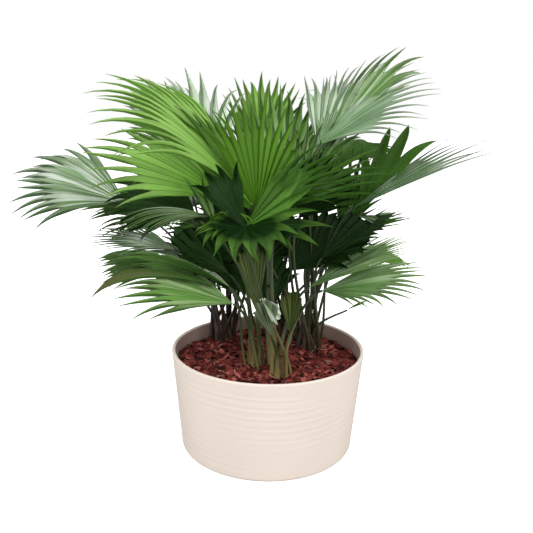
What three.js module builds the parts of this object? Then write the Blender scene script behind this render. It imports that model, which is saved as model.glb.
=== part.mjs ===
// A footstool palm in a plain round pot: short stems in bark mulch, and pleated fan fronds,
// each a thin blade on a long slim stalk. Millimetres, +Z up. The origin is the middle of the
// pot's flat underside, and the low cupped frond stands on the plant's front, towards -Y.
import * as THREE from "three";
import { mergeVertices } from "three/addons/utils/BufferGeometryUtils.js";

// Pot
const POT_HEIGHT = 264;
const POT_RIM_RADIUS = 250;
const POT_FOOT_RADIUS = 226;
const POT_WALL = 9;
const POT_FLOOR = 14;
const POT_EDGE = 8;
const POT_SIDES = 56;
const POT_EDGE_STEPS = 3;
const POT_RIM_STEPS = 6;

// What fills the pot
const MULCH_TOP = 234;
const MULCH_DEPTH = 34;
const MULCH_EDGE_DROP = 3;
const MULCH_FLAT_SHARE = 0.85;

// Clearance between pieces that touch, and the distance within which vertices are one
const GAP = 0.3;
const WELD = 1e-3;

// Stems: where each one stands in the mulch, and how the stalks stand on it. Angles in degrees.
const STEM_HEIGHT = 40;
const STEM_FOOT_RADIUS = 28;
const STEM_TOP_RADIUS = 24;
const STEM_SIDES = 12;
const STEM_RING = 17;
const SEAT_SPACING = 50;
const SEAT_ROUNDS = 60;
const STEMS = {
  front: [28, -100],
  middle: [-26, -46],
  left: [-128, 138],
  right: [112, 86],
  back: [22, 168],
};

// Stalks: the last two are how far the curve's handles reach, as shares of the stalk's span
const STALK_FOOT_RADIUS = 5.5;
const STALK_TIP_RADIUS = 4;
const STALK_SIDES = 6;
const STALK_STEPS = 8;
const STALK_RISE = 0.4;
const STALK_APPROACH = 0.3;

// Blades: a blade's rows lie at these shares of a ray's length. Beyond the split, each finger
// tapers to its tip. Edge rays are shorter by the shrink, and pleats are as deep as their share
// of a finger's half width.
const BLADE_THICKNESS_SHARE = 0.0105;
const BLADE_LEAST_THICKNESS = 2.6;
const BLADE_TIP_THICKNESS = 1.4;
const BLADE_INNER_ROW = 0.3;
const BLADE_SPLIT = 0.6;
const FINGER_ROW = 0.8;
const FINGER_ROW_WIDTH = 0.66;
const EDGE_SHRINK = 0.22;
const PLEAT = 0.2;
const RAY_STEPS = 10;

// Fronds. Each one has its stem, its tone, the heart where stalk and blade meet, the compass
// turn and the lift of its middle ray, its roll about that ray, its reach, its half spread, how
// far its rays droop and cup, and its number of fingers. Angles in degrees; turn 0 is +X.
const FROND_KEYS = [
  "stem", "tone", "heart", "turn", "lift", "roll", "reach", "half", "droop", "cup", "fingers",
];
const FRONDS = {
  centre_fan: ["middle", "bright", [-34, 20, 609], 136, 50, 0, 540, 70, 0.45, 10, 15],
  front_cup: ["front", "mid", [-33, -167, 583], -90, 8, 0, 226, 134, 0.3, 62, 16],
  far_left: ["left", "pale", [-369, 40, 628], 159, 22, -32, 315, 62, 0.45, 3, 12],
  mid_left: ["left", "pale", [-246, 40, 508], 160, 20, -5, 275, 55, 0.5, 3, 10],
  left_droop: ["middle", "mid", [-146, -14, 608], 197, 15, 2, 225, 38, 0.7, 3, 8],
  low_left: ["middle", "mid", [-98, -40, 434], 190, 23, -10, 290, 34, 0.5, 3, 8],
  lowest_left: ["middle", "mid", [-87, -90, 405], 180, 12, -4, 325, 46, 0.45, 3, 10],
  left_behind: ["left", "pale", [-218, 145, 668], 110, 38, 0, 235, 36, 0.4, 3, 7],
  back_left: ["left", "pale", [-185, 230, 749], 139, 48, 0, 300, 47, 0.4, 3, 9],
  back_centre: ["back", "bright", [-30, 310, 725], 95, 46, 0, 300, 32, 0.4, 3, 7],
  upper_right: ["right", "mid", [129, 90, 782], 52, 49, 4, 425, 58, 0.6, -14, 13],
  right_fan: ["right", "dark", [243, 170, 595], 50, 52, 0, 365, 32, 0.1, 3, 5],
  far_right: ["right", "pale", [232, 235, 592], 16, 34, 5, 430, 30, 0.35, 3, 7],
  right_mid: ["front", "mid", [42, -30, 635], 8, 24, 30, 290, 36, 0.3, 3, 7],
  dark_right: ["right", "dark", [140, 36, 478], 0, 46, 0, 310, 36, 0.5, 3, 8],
  pale_right: ["front", "pale", [101, -10, 427], -5, 32, 0, 330, 44, 0.4, 3, 9],
  lowest_right: ["front", "mid", [134, -30, 425], -5, 15, 0, 300, 75, 0.4, 3, 12],
  right_sprout: ["right", "bright", [210, 60, 347], 0, 30, 0, 66, 14, 0.2, 0, 2],
  young_fan: ["middle", "bright", [-39, -75, 419], 90, 85, 0, 130, 20, 0, 0, 4],
  folded_leaf: ["front", "dark", [2, -172, 457], -80, -50, 0, 110, 25, 0.2, 30, 3],
  wedge_leaf: ["front", "mid", [14, -66, 330], 90, 80, 0, 165, 22, 0, 10, 3],
  rear_left: ["left", "mid", [-260, 330, 560], 135, 15, 0, 350, 75, 0.5, 3, 12],
  rear_low_left: ["left", "mid", [-230, 240, 400], 150, 5, 0, 300, 65, 0.5, 3, 10],
  rear_centre: ["back", "mid", [-20, 350, 640], 105, 20, 0, 380, 70, 0.5, 3, 12],
  rear_right: ["back", "mid", [160, 340, 690], 76, 24, 0, 340, 56, 0.5, 3, 10],
  rear_low_right: ["back", "mid", [190, 260, 430], 58, 5, 0, 300, 60, 0.5, 3, 10],
};

const UP = new THREE.Vector3(0, 0, 1);
const radians = THREE.MathUtils.degToRad;

const FINISHES = {
  pot: { color: 0xe9e3db, roughness: 0.55 },
  soil: { color: 0x3a2a20, roughness: 0.95 },
  mulch: { color: 0x6b2f2c, roughness: 0.9 },
  stem: { color: 0x6b5a34, roughness: 0.85 },
  stalk: { color: 0x6f8a3a, roughness: 0.5 },
  bright: { color: 0x5f9a2f, roughness: 0.42 },
  mid: { color: 0x3f7a28, roughness: 0.45 },
  dark: { color: 0x24501a, roughness: 0.4 },
  pale: { color: 0x9dbd9a, roughness: 0.35 },
};

const plant = new THREE.Group();

function addPart(name, geometry, finish) {
  const material = new THREE.MeshStandardMaterial({ ...FINISHES[finish], metalness: 0 });
  const mesh = new THREE.Mesh(geometry, material);
  mesh.name = name;
  plant.add(mesh);
}

function closed(geometry) {
  geometry.deleteAttribute("normal");
  geometry.deleteAttribute("uv");
  const merged = mergeVertices(geometry, WELD);
  merged.computeVertexNormals();
  return merged;
}

function turned(profile, sides) {
  const points = profile.map(([radius, height]) => new THREE.Vector2(radius, height));
  const geometry = new THREE.LatheGeometry(points, sides);
  geometry.rotateX(Math.PI / 2);
  return closed(geometry);
}

function arcPoints(centre, radius, fromDegrees, toDegrees, steps) {
  const points = [];
  for (let i = 0; i <= steps; i++) {
    const angle = radians(fromDegrees + ((toDegrees - fromDegrees) * i) / steps);
    points.push([centre[0] + radius * Math.cos(angle), centre[1] + radius * Math.sin(angle)]);
  }
  return points;
}

function innerRadius(height) {
  return POT_FOOT_RADIUS + ((POT_RIM_RADIUS - POT_FOOT_RADIUS) * height) / POT_HEIGHT - POT_WALL;
}

function makePot() {
  const lip = POT_WALL / 2;
  const foot = arcPoints([POT_FOOT_RADIUS - POT_EDGE, POT_EDGE], POT_EDGE, -90, 0, POT_EDGE_STEPS);
  const rim = arcPoints([POT_RIM_RADIUS - lip, POT_HEIGHT - lip], lip, 0, 180, POT_RIM_STEPS);
  const profile = [[0, 0], ...foot, ...rim, [innerRadius(POT_FLOOR), POT_FLOOR], [0, POT_FLOOR]];
  addPart("pot", turned(profile, POT_SIDES), "pot");
}

function makeFill() {
  const soilBottom = POT_FLOOR + GAP;
  const soilTop = MULCH_TOP - MULCH_DEPTH;
  const clear = 2 * GAP;
  const soil = [
    [0, soilBottom],
    [innerRadius(soilBottom) - clear, soilBottom],
    [innerRadius(soilTop) - clear, soilTop],
    [0, soilTop],
  ];
  addPart("potting_soil", turned(soil, POT_SIDES), "soil");

  const mulchBottom = soilTop + GAP;
  const mulchEdge = MULCH_TOP - MULCH_EDGE_DROP;
  const mulch = [
    [0, mulchBottom],
    [innerRadius(mulchBottom) - clear, mulchBottom],
    [innerRadius(mulchEdge) - clear, mulchEdge],
    [MULCH_FLAT_SHARE * POT_FOOT_RADIUS, MULCH_TOP],
    [0, MULCH_TOP],
  ];
  addPart("bark_mulch", turned(mulch, POT_SIDES), "mulch");
}

// The directions along a frond's middle ray, across it and out of its upper face
function frondAxes(frond) {
  const turn = radians(frond.turn);
  const lift = radians(frond.lift);
  const roll = radians(frond.roll);
  const forward = new THREE.Vector3(
    Math.cos(lift) * Math.cos(turn), Math.cos(lift) * Math.sin(turn), Math.sin(lift));
  const side = new THREE.Vector3().crossVectors(forward, UP).normalize();
  const face = new THREE.Vector3().crossVectors(side, forward);
  side.applyAxisAngle(forward, roll);
  face.applyAxisAngle(forward, roll);
  return { forward, side, face };
}

// The point at share t of the ray at this angle, and the blade's upper face there. A ray sets
// out within the fan's plane, lifted by the cup, and bends down more and more as it goes.
function rayPoint(frond, axes, angle, t) {
  const share = angle / radians(frond.half);
  const length = frond.reach * (1 - EDGE_SHRINK * share * share);
  const across = new THREE.Vector3()
    .addScaledVector(axes.forward, -Math.sin(angle))
    .addScaledVector(axes.side, Math.cos(angle));
  const heading = new THREE.Vector3()
    .addScaledVector(axes.forward, Math.cos(angle))
    .addScaledVector(axes.side, Math.sin(angle))
    .addScaledVector(axes.face, Math.tan(radians(frond.cup) * share * share))
    .normalize();
  const point = new THREE.Vector3(...frond.heart);
  const step = t / RAY_STEPS;
  for (let i = 0; i < RAY_STEPS; i++) {
    const travelled = (i + 0.5) * step;
    heading.addScaledVector(UP, -2 * frond.droop * travelled * step).normalize();
    point.addScaledVector(heading, length * step);
  }
  const face = new THREE.Vector3().crossVectors(across, heading).normalize();
  return { point, face };
}

function bladeThickness(frond) {
  return Math.max(BLADE_LEAST_THICKNESS, BLADE_THICKNESS_SHARE * frond.reach);
}

// Gathers one blade as a closed skin: an upper and a lower side joined by a wall round its edge
class BladeBuilder {
  constructor(frond) {
    this.frond = frond;
    this.axes = frondAxes(frond);
    this.pitch = radians(frond.half) / frond.fingers;
    this.positions = [];
    this.index = [];
  }

  // A vertex on the upper side and one under it; ridge is 1 on a ridge and -1 in a valley
  pair(angle, t, ridge, width) {
    const { point, face } = rayPoint(this.frond, this.axes, angle, t);
    const thick = this.thicknessAt(t);
    point.addScaledVector(face, ridge * PLEAT * width);
    const top = point.clone().addScaledVector(face, thick / 2);
    const under = point.clone().addScaledVector(face, -thick / 2);
    this.positions.push(...top.toArray(), ...under.toArray());
    return this.positions.length / 3 - 2;
  }

  thicknessAt(t) {
    const full = bladeThickness(this.frond);
    return full + (BLADE_TIP_THICKNESS - full) * Math.max(0, (t - BLADE_SPLIT) / (1 - BLADE_SPLIT));
  }

  halfWidth(t) {
    return this.frond.reach * t * this.pitch;
  }

  // Upper and lower skin of a corner-to-corner patch, counter-clockwise from above
  skin(...corners) {
    for (let i = 1; i + 1 < corners.length; i++) {
      this.index.push(corners[0], corners[i], corners[i + 1]);
      this.index.push(corners[0] + 1, corners[i + 1] + 1, corners[i] + 1);
    }
  }

  wall(from, to) {
    this.index.push(from, to + 1, from + 1, from, to, to + 1);
  }

  build() {
    const columns = 2 * this.frond.fingers + 1;
    const angleAt = (column) => -radians(this.frond.half) + this.pitch * column;
    const row = (t) =>
      Array.from({ length: columns }, (_, column) =>
        this.pair(angleAt(column), t, column % 2 ? -1 : 1, this.halfWidth(t)));
    const heart = this.pair(0, 0, 0, 0);
    const inner = row(BLADE_INNER_ROW);
    const split = row(BLADE_SPLIT);
    for (let c = 0; c + 1 < columns; c++) {
      this.skin(heart, inner[c + 1], inner[c]);
      this.skin(inner[c], inner[c + 1], split[c + 1], split[c]);
    }
    this.wall(heart, inner[0]);
    this.wall(inner[0], split[0]);
    for (let c = 1; c < columns; c += 2) this.finger(split.slice(c - 1, c + 2), angleAt(c));
    this.wall(split[columns - 1], inner[columns - 1]);
    this.wall(inner[columns - 1], heart);
    const geometry = new THREE.BufferGeometry();
    geometry.setAttribute("position", new THREE.Float32BufferAttribute(this.positions, 3));
    geometry.setIndex(this.index);
    geometry.computeVertexNormals();
    return geometry;
  }

  finger([left, middle, right], angle) {
    const width = this.halfWidth(BLADE_SPLIT) * FINGER_ROW_WIDTH;
    const spread = (this.pitch * FINGER_ROW_WIDTH * BLADE_SPLIT) / FINGER_ROW;
    const rowLeft = this.pair(angle - spread, FINGER_ROW, 1, width);
    const rowMiddle = this.pair(angle, FINGER_ROW, -1, width);
    const rowRight = this.pair(angle + spread, FINGER_ROW, 1, width);
    const tip = this.pair(angle, 1, 0, 0);
    this.skin(left, middle, rowMiddle, rowLeft);
    this.skin(middle, right, rowRight, rowMiddle);
    this.skin(rowLeft, rowMiddle, tip);
    this.skin(rowMiddle, rowRight, tip);
    this.wall(left, rowLeft);
    this.wall(rowLeft, tip);
    this.wall(tip, rowRight);
    this.wall(rowRight, right);
  }
}

// A stalk rises straight up from its stem and swings round to meet its blade
function stalkCurve(frond, foot) {
  const axes = frondAxes(frond);
  const under = frond.half > 90;
  const arrive = under ? axes.face : axes.forward;
  const clear = under ? bladeThickness(frond) / 2 + 3 * GAP : 2 * GAP;
  const heart = new THREE.Vector3(...frond.heart).addScaledVector(arrive, -clear);
  const span = heart.distanceTo(foot);
  const rise = foot.clone().addScaledVector(UP, STALK_RISE * span);
  const approach = heart.clone().addScaledVector(arrive, -STALK_APPROACH * span);
  return new THREE.CubicBezierCurve3(foot, rise, approach, heart);
}

function limbAlong(curve, footRadius, tipRadius) {
  const geometry = new THREE.CylinderGeometry(tipRadius, footRadius, 1, STALK_SIDES, STALK_STEPS);
  const position = geometry.attributes.position;
  const frames = curve.computeFrenetFrames(STALK_STEPS, false);
  for (let i = 0; i < position.count; i++) {
    const t = position.getY(i) + 0.5;
    const step = Math.round(t * STALK_STEPS);
    const place = curve.getPointAt(t);
    place.addScaledVector(frames.normals[step], position.getZ(i));
    place.addScaledVector(frames.binormals[step], position.getX(i));
    position.setXYZ(i, place.x, place.y, place.z);
  }
  return closed(geometry);
}

function makeStems() {
  for (const [name, [x, y]] of Object.entries(STEMS)) {
    const geometry = new THREE.CylinderGeometry(STEM_TOP_RADIUS, STEM_FOOT_RADIUS, STEM_HEIGHT, STEM_SIDES);
    geometry.rotateX(Math.PI / 2);
    geometry.translate(x, y, MULCH_TOP + GAP + STEM_HEIGHT / 2);
    addPart(`${name}_stem`, closed(geometry), "stem");
  }
}

// The stalks of one stem stand in a ring on it. Each keeps as near as it can to the side it
// leaves by, and neighbours that crowd each other are pushed apart.
function ringAngles(ways) {
  const angles = [...ways];
  const apart = Math.min(radians(SEAT_SPACING), (2 * Math.PI) / angles.length);
  for (let round = 0; round < SEAT_ROUNDS; round++) {
    for (let i = 0; i < angles.length; i++) {
      const next = (i + 1) % angles.length;
      const wrap = next === 0 ? 2 * Math.PI : 0;
      const crowd = apart - (angles[next] + wrap - angles[i]);
      if (angles.length > 1 && crowd > 0) {
        angles[i] -= crowd / 2;
        angles[next] += crowd / 2;
      }
    }
  }
  return angles;
}

function stalkFeet(fronds) {
  const feet = {};
  for (const [stem, [x, y]] of Object.entries(STEMS)) {
    const own = fronds.filter((frond) => frond.stem === stem);
    const way = (frond) => Math.atan2(frond.heart[1] - y, frond.heart[0] - x);
    own.sort((a, b) => way(a) - way(b));
    ringAngles(own.map(way)).forEach((angle, i) => {
      feet[own[i].name] = new THREE.Vector3(
        x + STEM_RING * Math.cos(angle), y + STEM_RING * Math.sin(angle),
        MULCH_TOP + STEM_HEIGHT + 2 * GAP);
    });
  }
  return feet;
}

function makeFronds() {
  const fronds = Object.entries(FRONDS).map(([name, values]) => {
    const frond = Object.fromEntries(FROND_KEYS.map((key, i) => [key, values[i]]));
    return { name, ...frond };
  });
  const feet = stalkFeet(fronds);
  for (const frond of fronds) {
    const stalk = limbAlong(stalkCurve(frond, feet[frond.name]), STALK_FOOT_RADIUS, STALK_TIP_RADIUS);
    addPart(`${frond.name}_stalk`, stalk, "stalk");
    addPart(`${frond.name}_blade`, new BladeBuilder(frond).build(), frond.tone);
  }
}

makePot();
makeFill();
makeStems();
makeFronds();

export default plant;
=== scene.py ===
# %% [markdown]
# # A potted footstool palm
# A palm with many round, pleated leaves on long stalks grows from a few short stems in one
# wide cream pot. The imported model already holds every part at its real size, with plain
# solids. Here each plain solid gets its finished surface: rings thrown into the pot, loose
# bark chips, grooved stalks with spines, and leaves cut into slim folded fingers. More leaves
# than the plain model has then fill the crown.

import math

import bpy
import numpy as np
from mathutils import Matrix, Vector


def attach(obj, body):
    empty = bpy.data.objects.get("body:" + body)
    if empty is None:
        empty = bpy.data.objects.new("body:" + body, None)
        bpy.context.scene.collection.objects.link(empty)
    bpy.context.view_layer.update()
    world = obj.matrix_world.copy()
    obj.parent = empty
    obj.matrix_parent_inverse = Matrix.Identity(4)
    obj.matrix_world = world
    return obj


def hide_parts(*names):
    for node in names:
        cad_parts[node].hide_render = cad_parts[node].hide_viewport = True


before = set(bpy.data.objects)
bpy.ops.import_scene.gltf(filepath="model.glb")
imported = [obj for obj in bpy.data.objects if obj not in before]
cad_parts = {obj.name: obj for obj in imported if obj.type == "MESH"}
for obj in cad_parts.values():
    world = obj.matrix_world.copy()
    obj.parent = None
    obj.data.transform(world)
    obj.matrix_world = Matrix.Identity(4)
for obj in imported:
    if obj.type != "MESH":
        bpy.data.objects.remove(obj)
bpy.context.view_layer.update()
print("nodes in the frame:", len(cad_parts))

# %% [markdown]
# ## Units and chance
# The frame is in metres, and a plant is easier to think of in millimetres, so sizes are
# written in millimetres and multiplied by MM where a mesh is made. Chance makes leaves and
# chips uneven. Its seed comes from the letters of a piece's name, so every run gives the same
# plant, and a change to one piece leaves the others as they are.

# %% Units and chance
MM = 0.001
UP = np.array([0.0, 0.0, 1.0])


def chance(name):
    return np.random.default_rng(sum((i + 1) * ord(c) for i, c in enumerate(name)))


def unit(vectors):
    return vectors / np.linalg.norm(vectors, axis=-1, keepdims=True)


# %% [markdown]
# ## Helpers for meshes
# Loading leaves everything selected, and an operator works on all that is selected, so each
# step deselects first. Faces, edges and points are then chosen in code, by their place. The
# pot, the stems and the bed start as cylinders, so one helper adds those. A leaf or a heap of
# chips has thousands of small faces that follow a rule, so it is made straight from arrays of
# points, which is far quicker than operators.

# %% Helpers for meshes
def deselect_all():
    bpy.ops.object.select_all(action="DESELECT")


def select_only(piece):
    deselect_all()
    piece.select_set(True)
    bpy.context.view_layer.objects.active = piece


def start_choosing(kind):
    bpy.ops.object.mode_set(mode="EDIT")
    bpy.ops.mesh.select_mode(type=kind)
    bpy.ops.mesh.select_all(action="DESELECT")
    bpy.ops.object.mode_set(mode="OBJECT")


def select_faces(piece, chosen):
    start_choosing("FACE")
    for polygon in piece.data.polygons:
        polygon.select = chosen(polygon)
    bpy.ops.object.mode_set(mode="EDIT")


def select_edges(piece, chosen):
    start_choosing("EDGE")
    points = piece.data.vertices
    for edge in piece.data.edges:
        edge.select = chosen(points[edge.vertices[0]].co, points[edge.vertices[1]].co)
    bpy.ops.object.mode_set(mode="EDIT")


def select_points(piece, chosen):
    start_choosing("VERT")
    for vertex in piece.data.vertices:
        vertex.select = chosen(vertex.co)
    bpy.ops.object.mode_set(mode="EDIT")


def get_points(mesh):
    flat = np.empty(len(mesh.vertices) * 3)
    mesh.vertices.foreach_get("co", flat)
    return flat.reshape(-1, 3)


def set_points(mesh, points):
    mesh.vertices.foreach_set("co", np.asarray(points).ravel())
    mesh.update()


def piece_from_arrays(name, points, faces, materials, finishes=None, uvs=None):
    mesh = bpy.data.meshes.new(name)
    mesh.from_pydata((np.asarray(points) * MM).tolist(), [], faces)
    for material in materials:
        mesh.materials.append(material)
    if finishes is not None:
        mesh.polygons.foreach_set("material_index", finishes)
    if uvs is not None:
        layer = mesh.uv_layers.new(name="along")
        layer.data.foreach_set("uv", np.asarray(uvs, dtype=float).ravel())
    piece = bpy.data.objects.new(name, mesh)
    bpy.context.scene.collection.objects.link(piece)
    return piece


def smooth_by_angle(piece, degrees):
    select_only(piece)
    bpy.ops.object.shade_smooth_by_angle(angle=math.radians(degrees))


def cylinder(name, sides, radius, height, middle):
    """An upright cylinder, in metres, whose place is in its mesh."""
    deselect_all()
    bpy.ops.mesh.primitive_cylinder_add(
        vertices=sides, radius=radius, depth=height, location=middle
    )
    piece = bpy.context.object
    piece.name = name
    bpy.ops.object.transform_apply(location=True)
    return piece


def place_on_plant(piece, slot, *nodes):
    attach(piece, "root")
    if nodes:
        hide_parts(*nodes)


# %% [markdown]
# ## Camera
# The camera stands where the photograph was taken from: a little under two metres from the
# pot and about chest height, tipped down so that the mulch shows inside the rim. The lens is
# worked out from the picture's focal length in pixels, for a sensor 36 mm wide.

# %% Camera
CAMERA_PLACE = (0.0, -1.690, 0.912)
CAMERA_PITCH = 14.4
CAMERA_YAW = 0.25
CAMERA_ROLL = 1.0
PICTURE_WIDTH = 533
PICTURE_FOCUS = 685
SENSOR_WIDTH = 36

deselect_all()
bpy.ops.object.camera_add(location=CAMERA_PLACE)
camera = bpy.context.object
camera.name = "camera"
turn = (
    Matrix.Rotation(math.radians(CAMERA_YAW), 4, "Z")
    @ Matrix.Rotation(math.radians(90 - CAMERA_PITCH), 4, "X")
    @ Matrix.Rotation(math.radians(CAMERA_ROLL), 4, "Z")
)
camera.rotation_euler = turn.to_euler()
camera.data.sensor_width = SENSOR_WIDTH
camera.data.lens = SENSOR_WIDTH * PICTURE_FOCUS / PICTURE_WIDTH
bpy.context.scene.camera = camera
print("lens:", round(camera.data.lens, 2), "mm")

# %% [markdown]
# ## Floor and room
# The plant stands in a bright white studio: a wide white floor runs off into a white world.
# The camera sees both as pure white. All other light finds them dimmer, so that the
# undersides of the leaves keep their shade. A node that tells camera rays from the rest picks
# between the two. The plain view transform keeps white white.

# %% Floor and room
FLOOR_SIZE = 24.0
FLOOR_WHITE, FLOOR_GREY = (0.9, 0.9, 0.9), (0.5, 0.5, 0.5)
FLOOR_ROUGHNESS, FLOOR_GLOW = 0.8, 0.76
ROOM_LIGHT = 0.72


def plain_material(name, colour, roughness):
    material = bpy.data.materials.new(name)
    material.use_nodes = True
    shader = material.node_tree.nodes["Principled BSDF"]
    shader.inputs["Base Color"].default_value = (*colour, 1)
    shader.inputs["Roughness"].default_value = roughness
    return material


def node(tree, kind, **values):
    made = tree.nodes.new(kind)
    for key, value in values.items():
        setattr(made, key, value)
    return made


deselect_all()
bpy.ops.mesh.primitive_plane_add(size=FLOOR_SIZE, location=(0, 0, 0))
floor = bpy.context.object
floor.name = "floor"
floor_white = plain_material("floor_white", FLOOR_WHITE, FLOOR_ROUGHNESS)
tree = floor_white.node_tree
lit_floor = tree.nodes["Principled BSDF"]
lit_floor.inputs["Emission Color"].default_value = (1, 1, 1, 1)
lit_floor.inputs["Emission Strength"].default_value = FLOOR_GLOW
lit_floor.inputs["Specular IOR Level"].default_value = 0.0
dim_floor = node(tree, "ShaderNodeBsdfDiffuse")
dim_floor.inputs["Color"].default_value = (*FLOOR_GREY, 1)
floor_rays = node(tree, "ShaderNodeLightPath")
floor_mix = node(tree, "ShaderNodeMixShader")
tree.links.new(floor_rays.outputs["Is Camera Ray"], floor_mix.inputs["Fac"])
tree.links.new(dim_floor.outputs["BSDF"], floor_mix.inputs[1])
tree.links.new(lit_floor.outputs["BSDF"], floor_mix.inputs[2])
tree.links.new(floor_mix.outputs["Shader"], tree.nodes["Material Output"].inputs["Surface"])
floor.data.materials.append(floor_white)

world = bpy.data.worlds.new("white_studio")
world.use_nodes = True
tree = world.node_tree
sky = tree.nodes["Background"]
sky.inputs["Color"].default_value = (1, 1, 1, 1)
rays = node(tree, "ShaderNodeLightPath")
brightness = node(tree, "ShaderNodeMix")
brightness.inputs["A"].default_value = ROOM_LIGHT
brightness.inputs["B"].default_value = 1.0
tree.links.new(rays.outputs["Is Camera Ray"], brightness.inputs["Factor"])
tree.links.new(brightness.outputs["Result"], sky.inputs["Strength"])
bpy.context.scene.world = world
bpy.context.scene.view_settings.view_transform = "Standard"
print("floor:", FLOOR_SIZE, "m wide")

# %% [markdown]
# ## Lamps
# Four soft lamps light the plant. The key lamp stands high at the front left, a smaller one
# at the right and a broad one low in front. A wall of light behind puts the pale sheen on
# the leaves that lie flat. All are wide, so their shadows stay soft.

# %% Lamps
LAMP_AIM = Vector((0, 0, 0.6))
LAMPS = {
    "key_lamp": ((-1.6, -1.5, 2.4), (1.1, 1.1), 42),
    "back_wall": ((0.0, 3.4, 1.9), (5.0, 2.6), 60),
    "side_lamp": ((2.6, -1.5, 1.6), (1.4, 1.4), 34),
    "front_lamp": ((0.4, -3.2, 1.3), (2.0, 1.6), 19),
}

for name, (place, size, power) in LAMPS.items():
    deselect_all()
    bpy.ops.object.light_add(type="AREA", location=place)
    lamp = bpy.context.object
    lamp.name = name
    lamp.data.shape = "RECTANGLE"
    lamp.data.size, lamp.data.size_y = size
    lamp.data.energy = power
    lamp.visible_camera = False
    lamp.rotation_euler = (LAMP_AIM - Vector(place)).to_track_quat("-Z", "Y").to_euler()
print("lamps:", len(LAMPS))

# %% [markdown]
# ## Helpers for finishes
# A finish is a small net of nodes: patterns are made, sharpened and blended, and end as the
# colour and the tiny dents of a surface. All the finishes here are made of the same few
# steps, so each step has a helper that adds its node, sets it and hands on its output.

# %% Helpers for finishes
def blend(tree, factor, first, second, kind="MIX"):
    """A mix of two colours; each of the three may be a value or another node's output."""
    mix = node(tree, "ShaderNodeMix", data_type="RGBA", blend_type=kind)
    for socket, value in zip((mix.inputs["Factor"], mix.inputs[6], mix.inputs[7]),
                             (factor, first, second)):
        if isinstance(value, bpy.types.NodeSocket):
            tree.links.new(value, socket)
        elif isinstance(value, tuple):
            socket.default_value = (*value, 1)
        else:
            socket.default_value = value
    return mix.outputs[2]


def ramp_of(tree, value, *stops):
    """Grey levels or colours at given places, with smooth steps between them."""
    ramp = node(tree, "ShaderNodeValToRGB")
    elements = ramp.color_ramp.elements
    while len(elements) < len(stops):
        elements.new(0.5)
    for element, (place, level) in zip(elements, stops):
        element.position = place
        element.color = (*level, 1) if isinstance(level, tuple) else (level, level, level, 1)
    tree.links.new(value, ramp.inputs["Fac"])
    return ramp.outputs["Color"]


def maths(tree, operation, value, second=None):
    """One sum on an output, with a number or another output where it needs a second term."""
    step = node(tree, "ShaderNodeMath", operation=operation)
    tree.links.new(value, step.inputs[0])
    if isinstance(second, bpy.types.NodeSocket):
        tree.links.new(second, step.inputs[1])
    elif second is not None:
        step.inputs[1].default_value = second
    return step.outputs["Value"]


def noise(tree, place, scale, detail=2.0, **values):
    """Soft clouds of chance; a higher scale makes smaller clouds."""
    clouds = node(tree, "ShaderNodeTexNoise", **values)
    clouds.inputs["Scale"].default_value = scale
    clouds.inputs["Detail"].default_value = detail
    tree.links.new(place, clouds.inputs["Vector"])
    return clouds


def spots_of(tree):
    """Places on the plant itself, for patterns that don't follow a finger or a stalk."""
    return node(tree, "ShaderNodeTexCoord").outputs["Object"]


def along_map(tree):
    """A piece's own map, and the parts of it that run across and along it."""
    place = node(tree, "ShaderNodeUVMap", uv_map="along").outputs["UV"]
    split = node(tree, "ShaderNodeSeparateXYZ")
    tree.links.new(place, split.inputs["Vector"])
    return place, split.outputs["X"], split.outputs["Y"]


def dents(tree, height, strength, depth):
    """Tiny dents whose height follows a pattern, down to this depth in metres."""
    bump = node(tree, "ShaderNodeBump")
    bump.inputs["Strength"].default_value = strength
    bump.inputs["Distance"].default_value = depth
    tree.links.new(height, bump.inputs["Height"])
    tree.links.new(bump.outputs["Normal"], tree.nodes["Principled BSDF"].inputs["Normal"])


def share_of(colour, share, plus=0.0):
    return tuple(min(1, share * c + plus) for c in colour)
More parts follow.
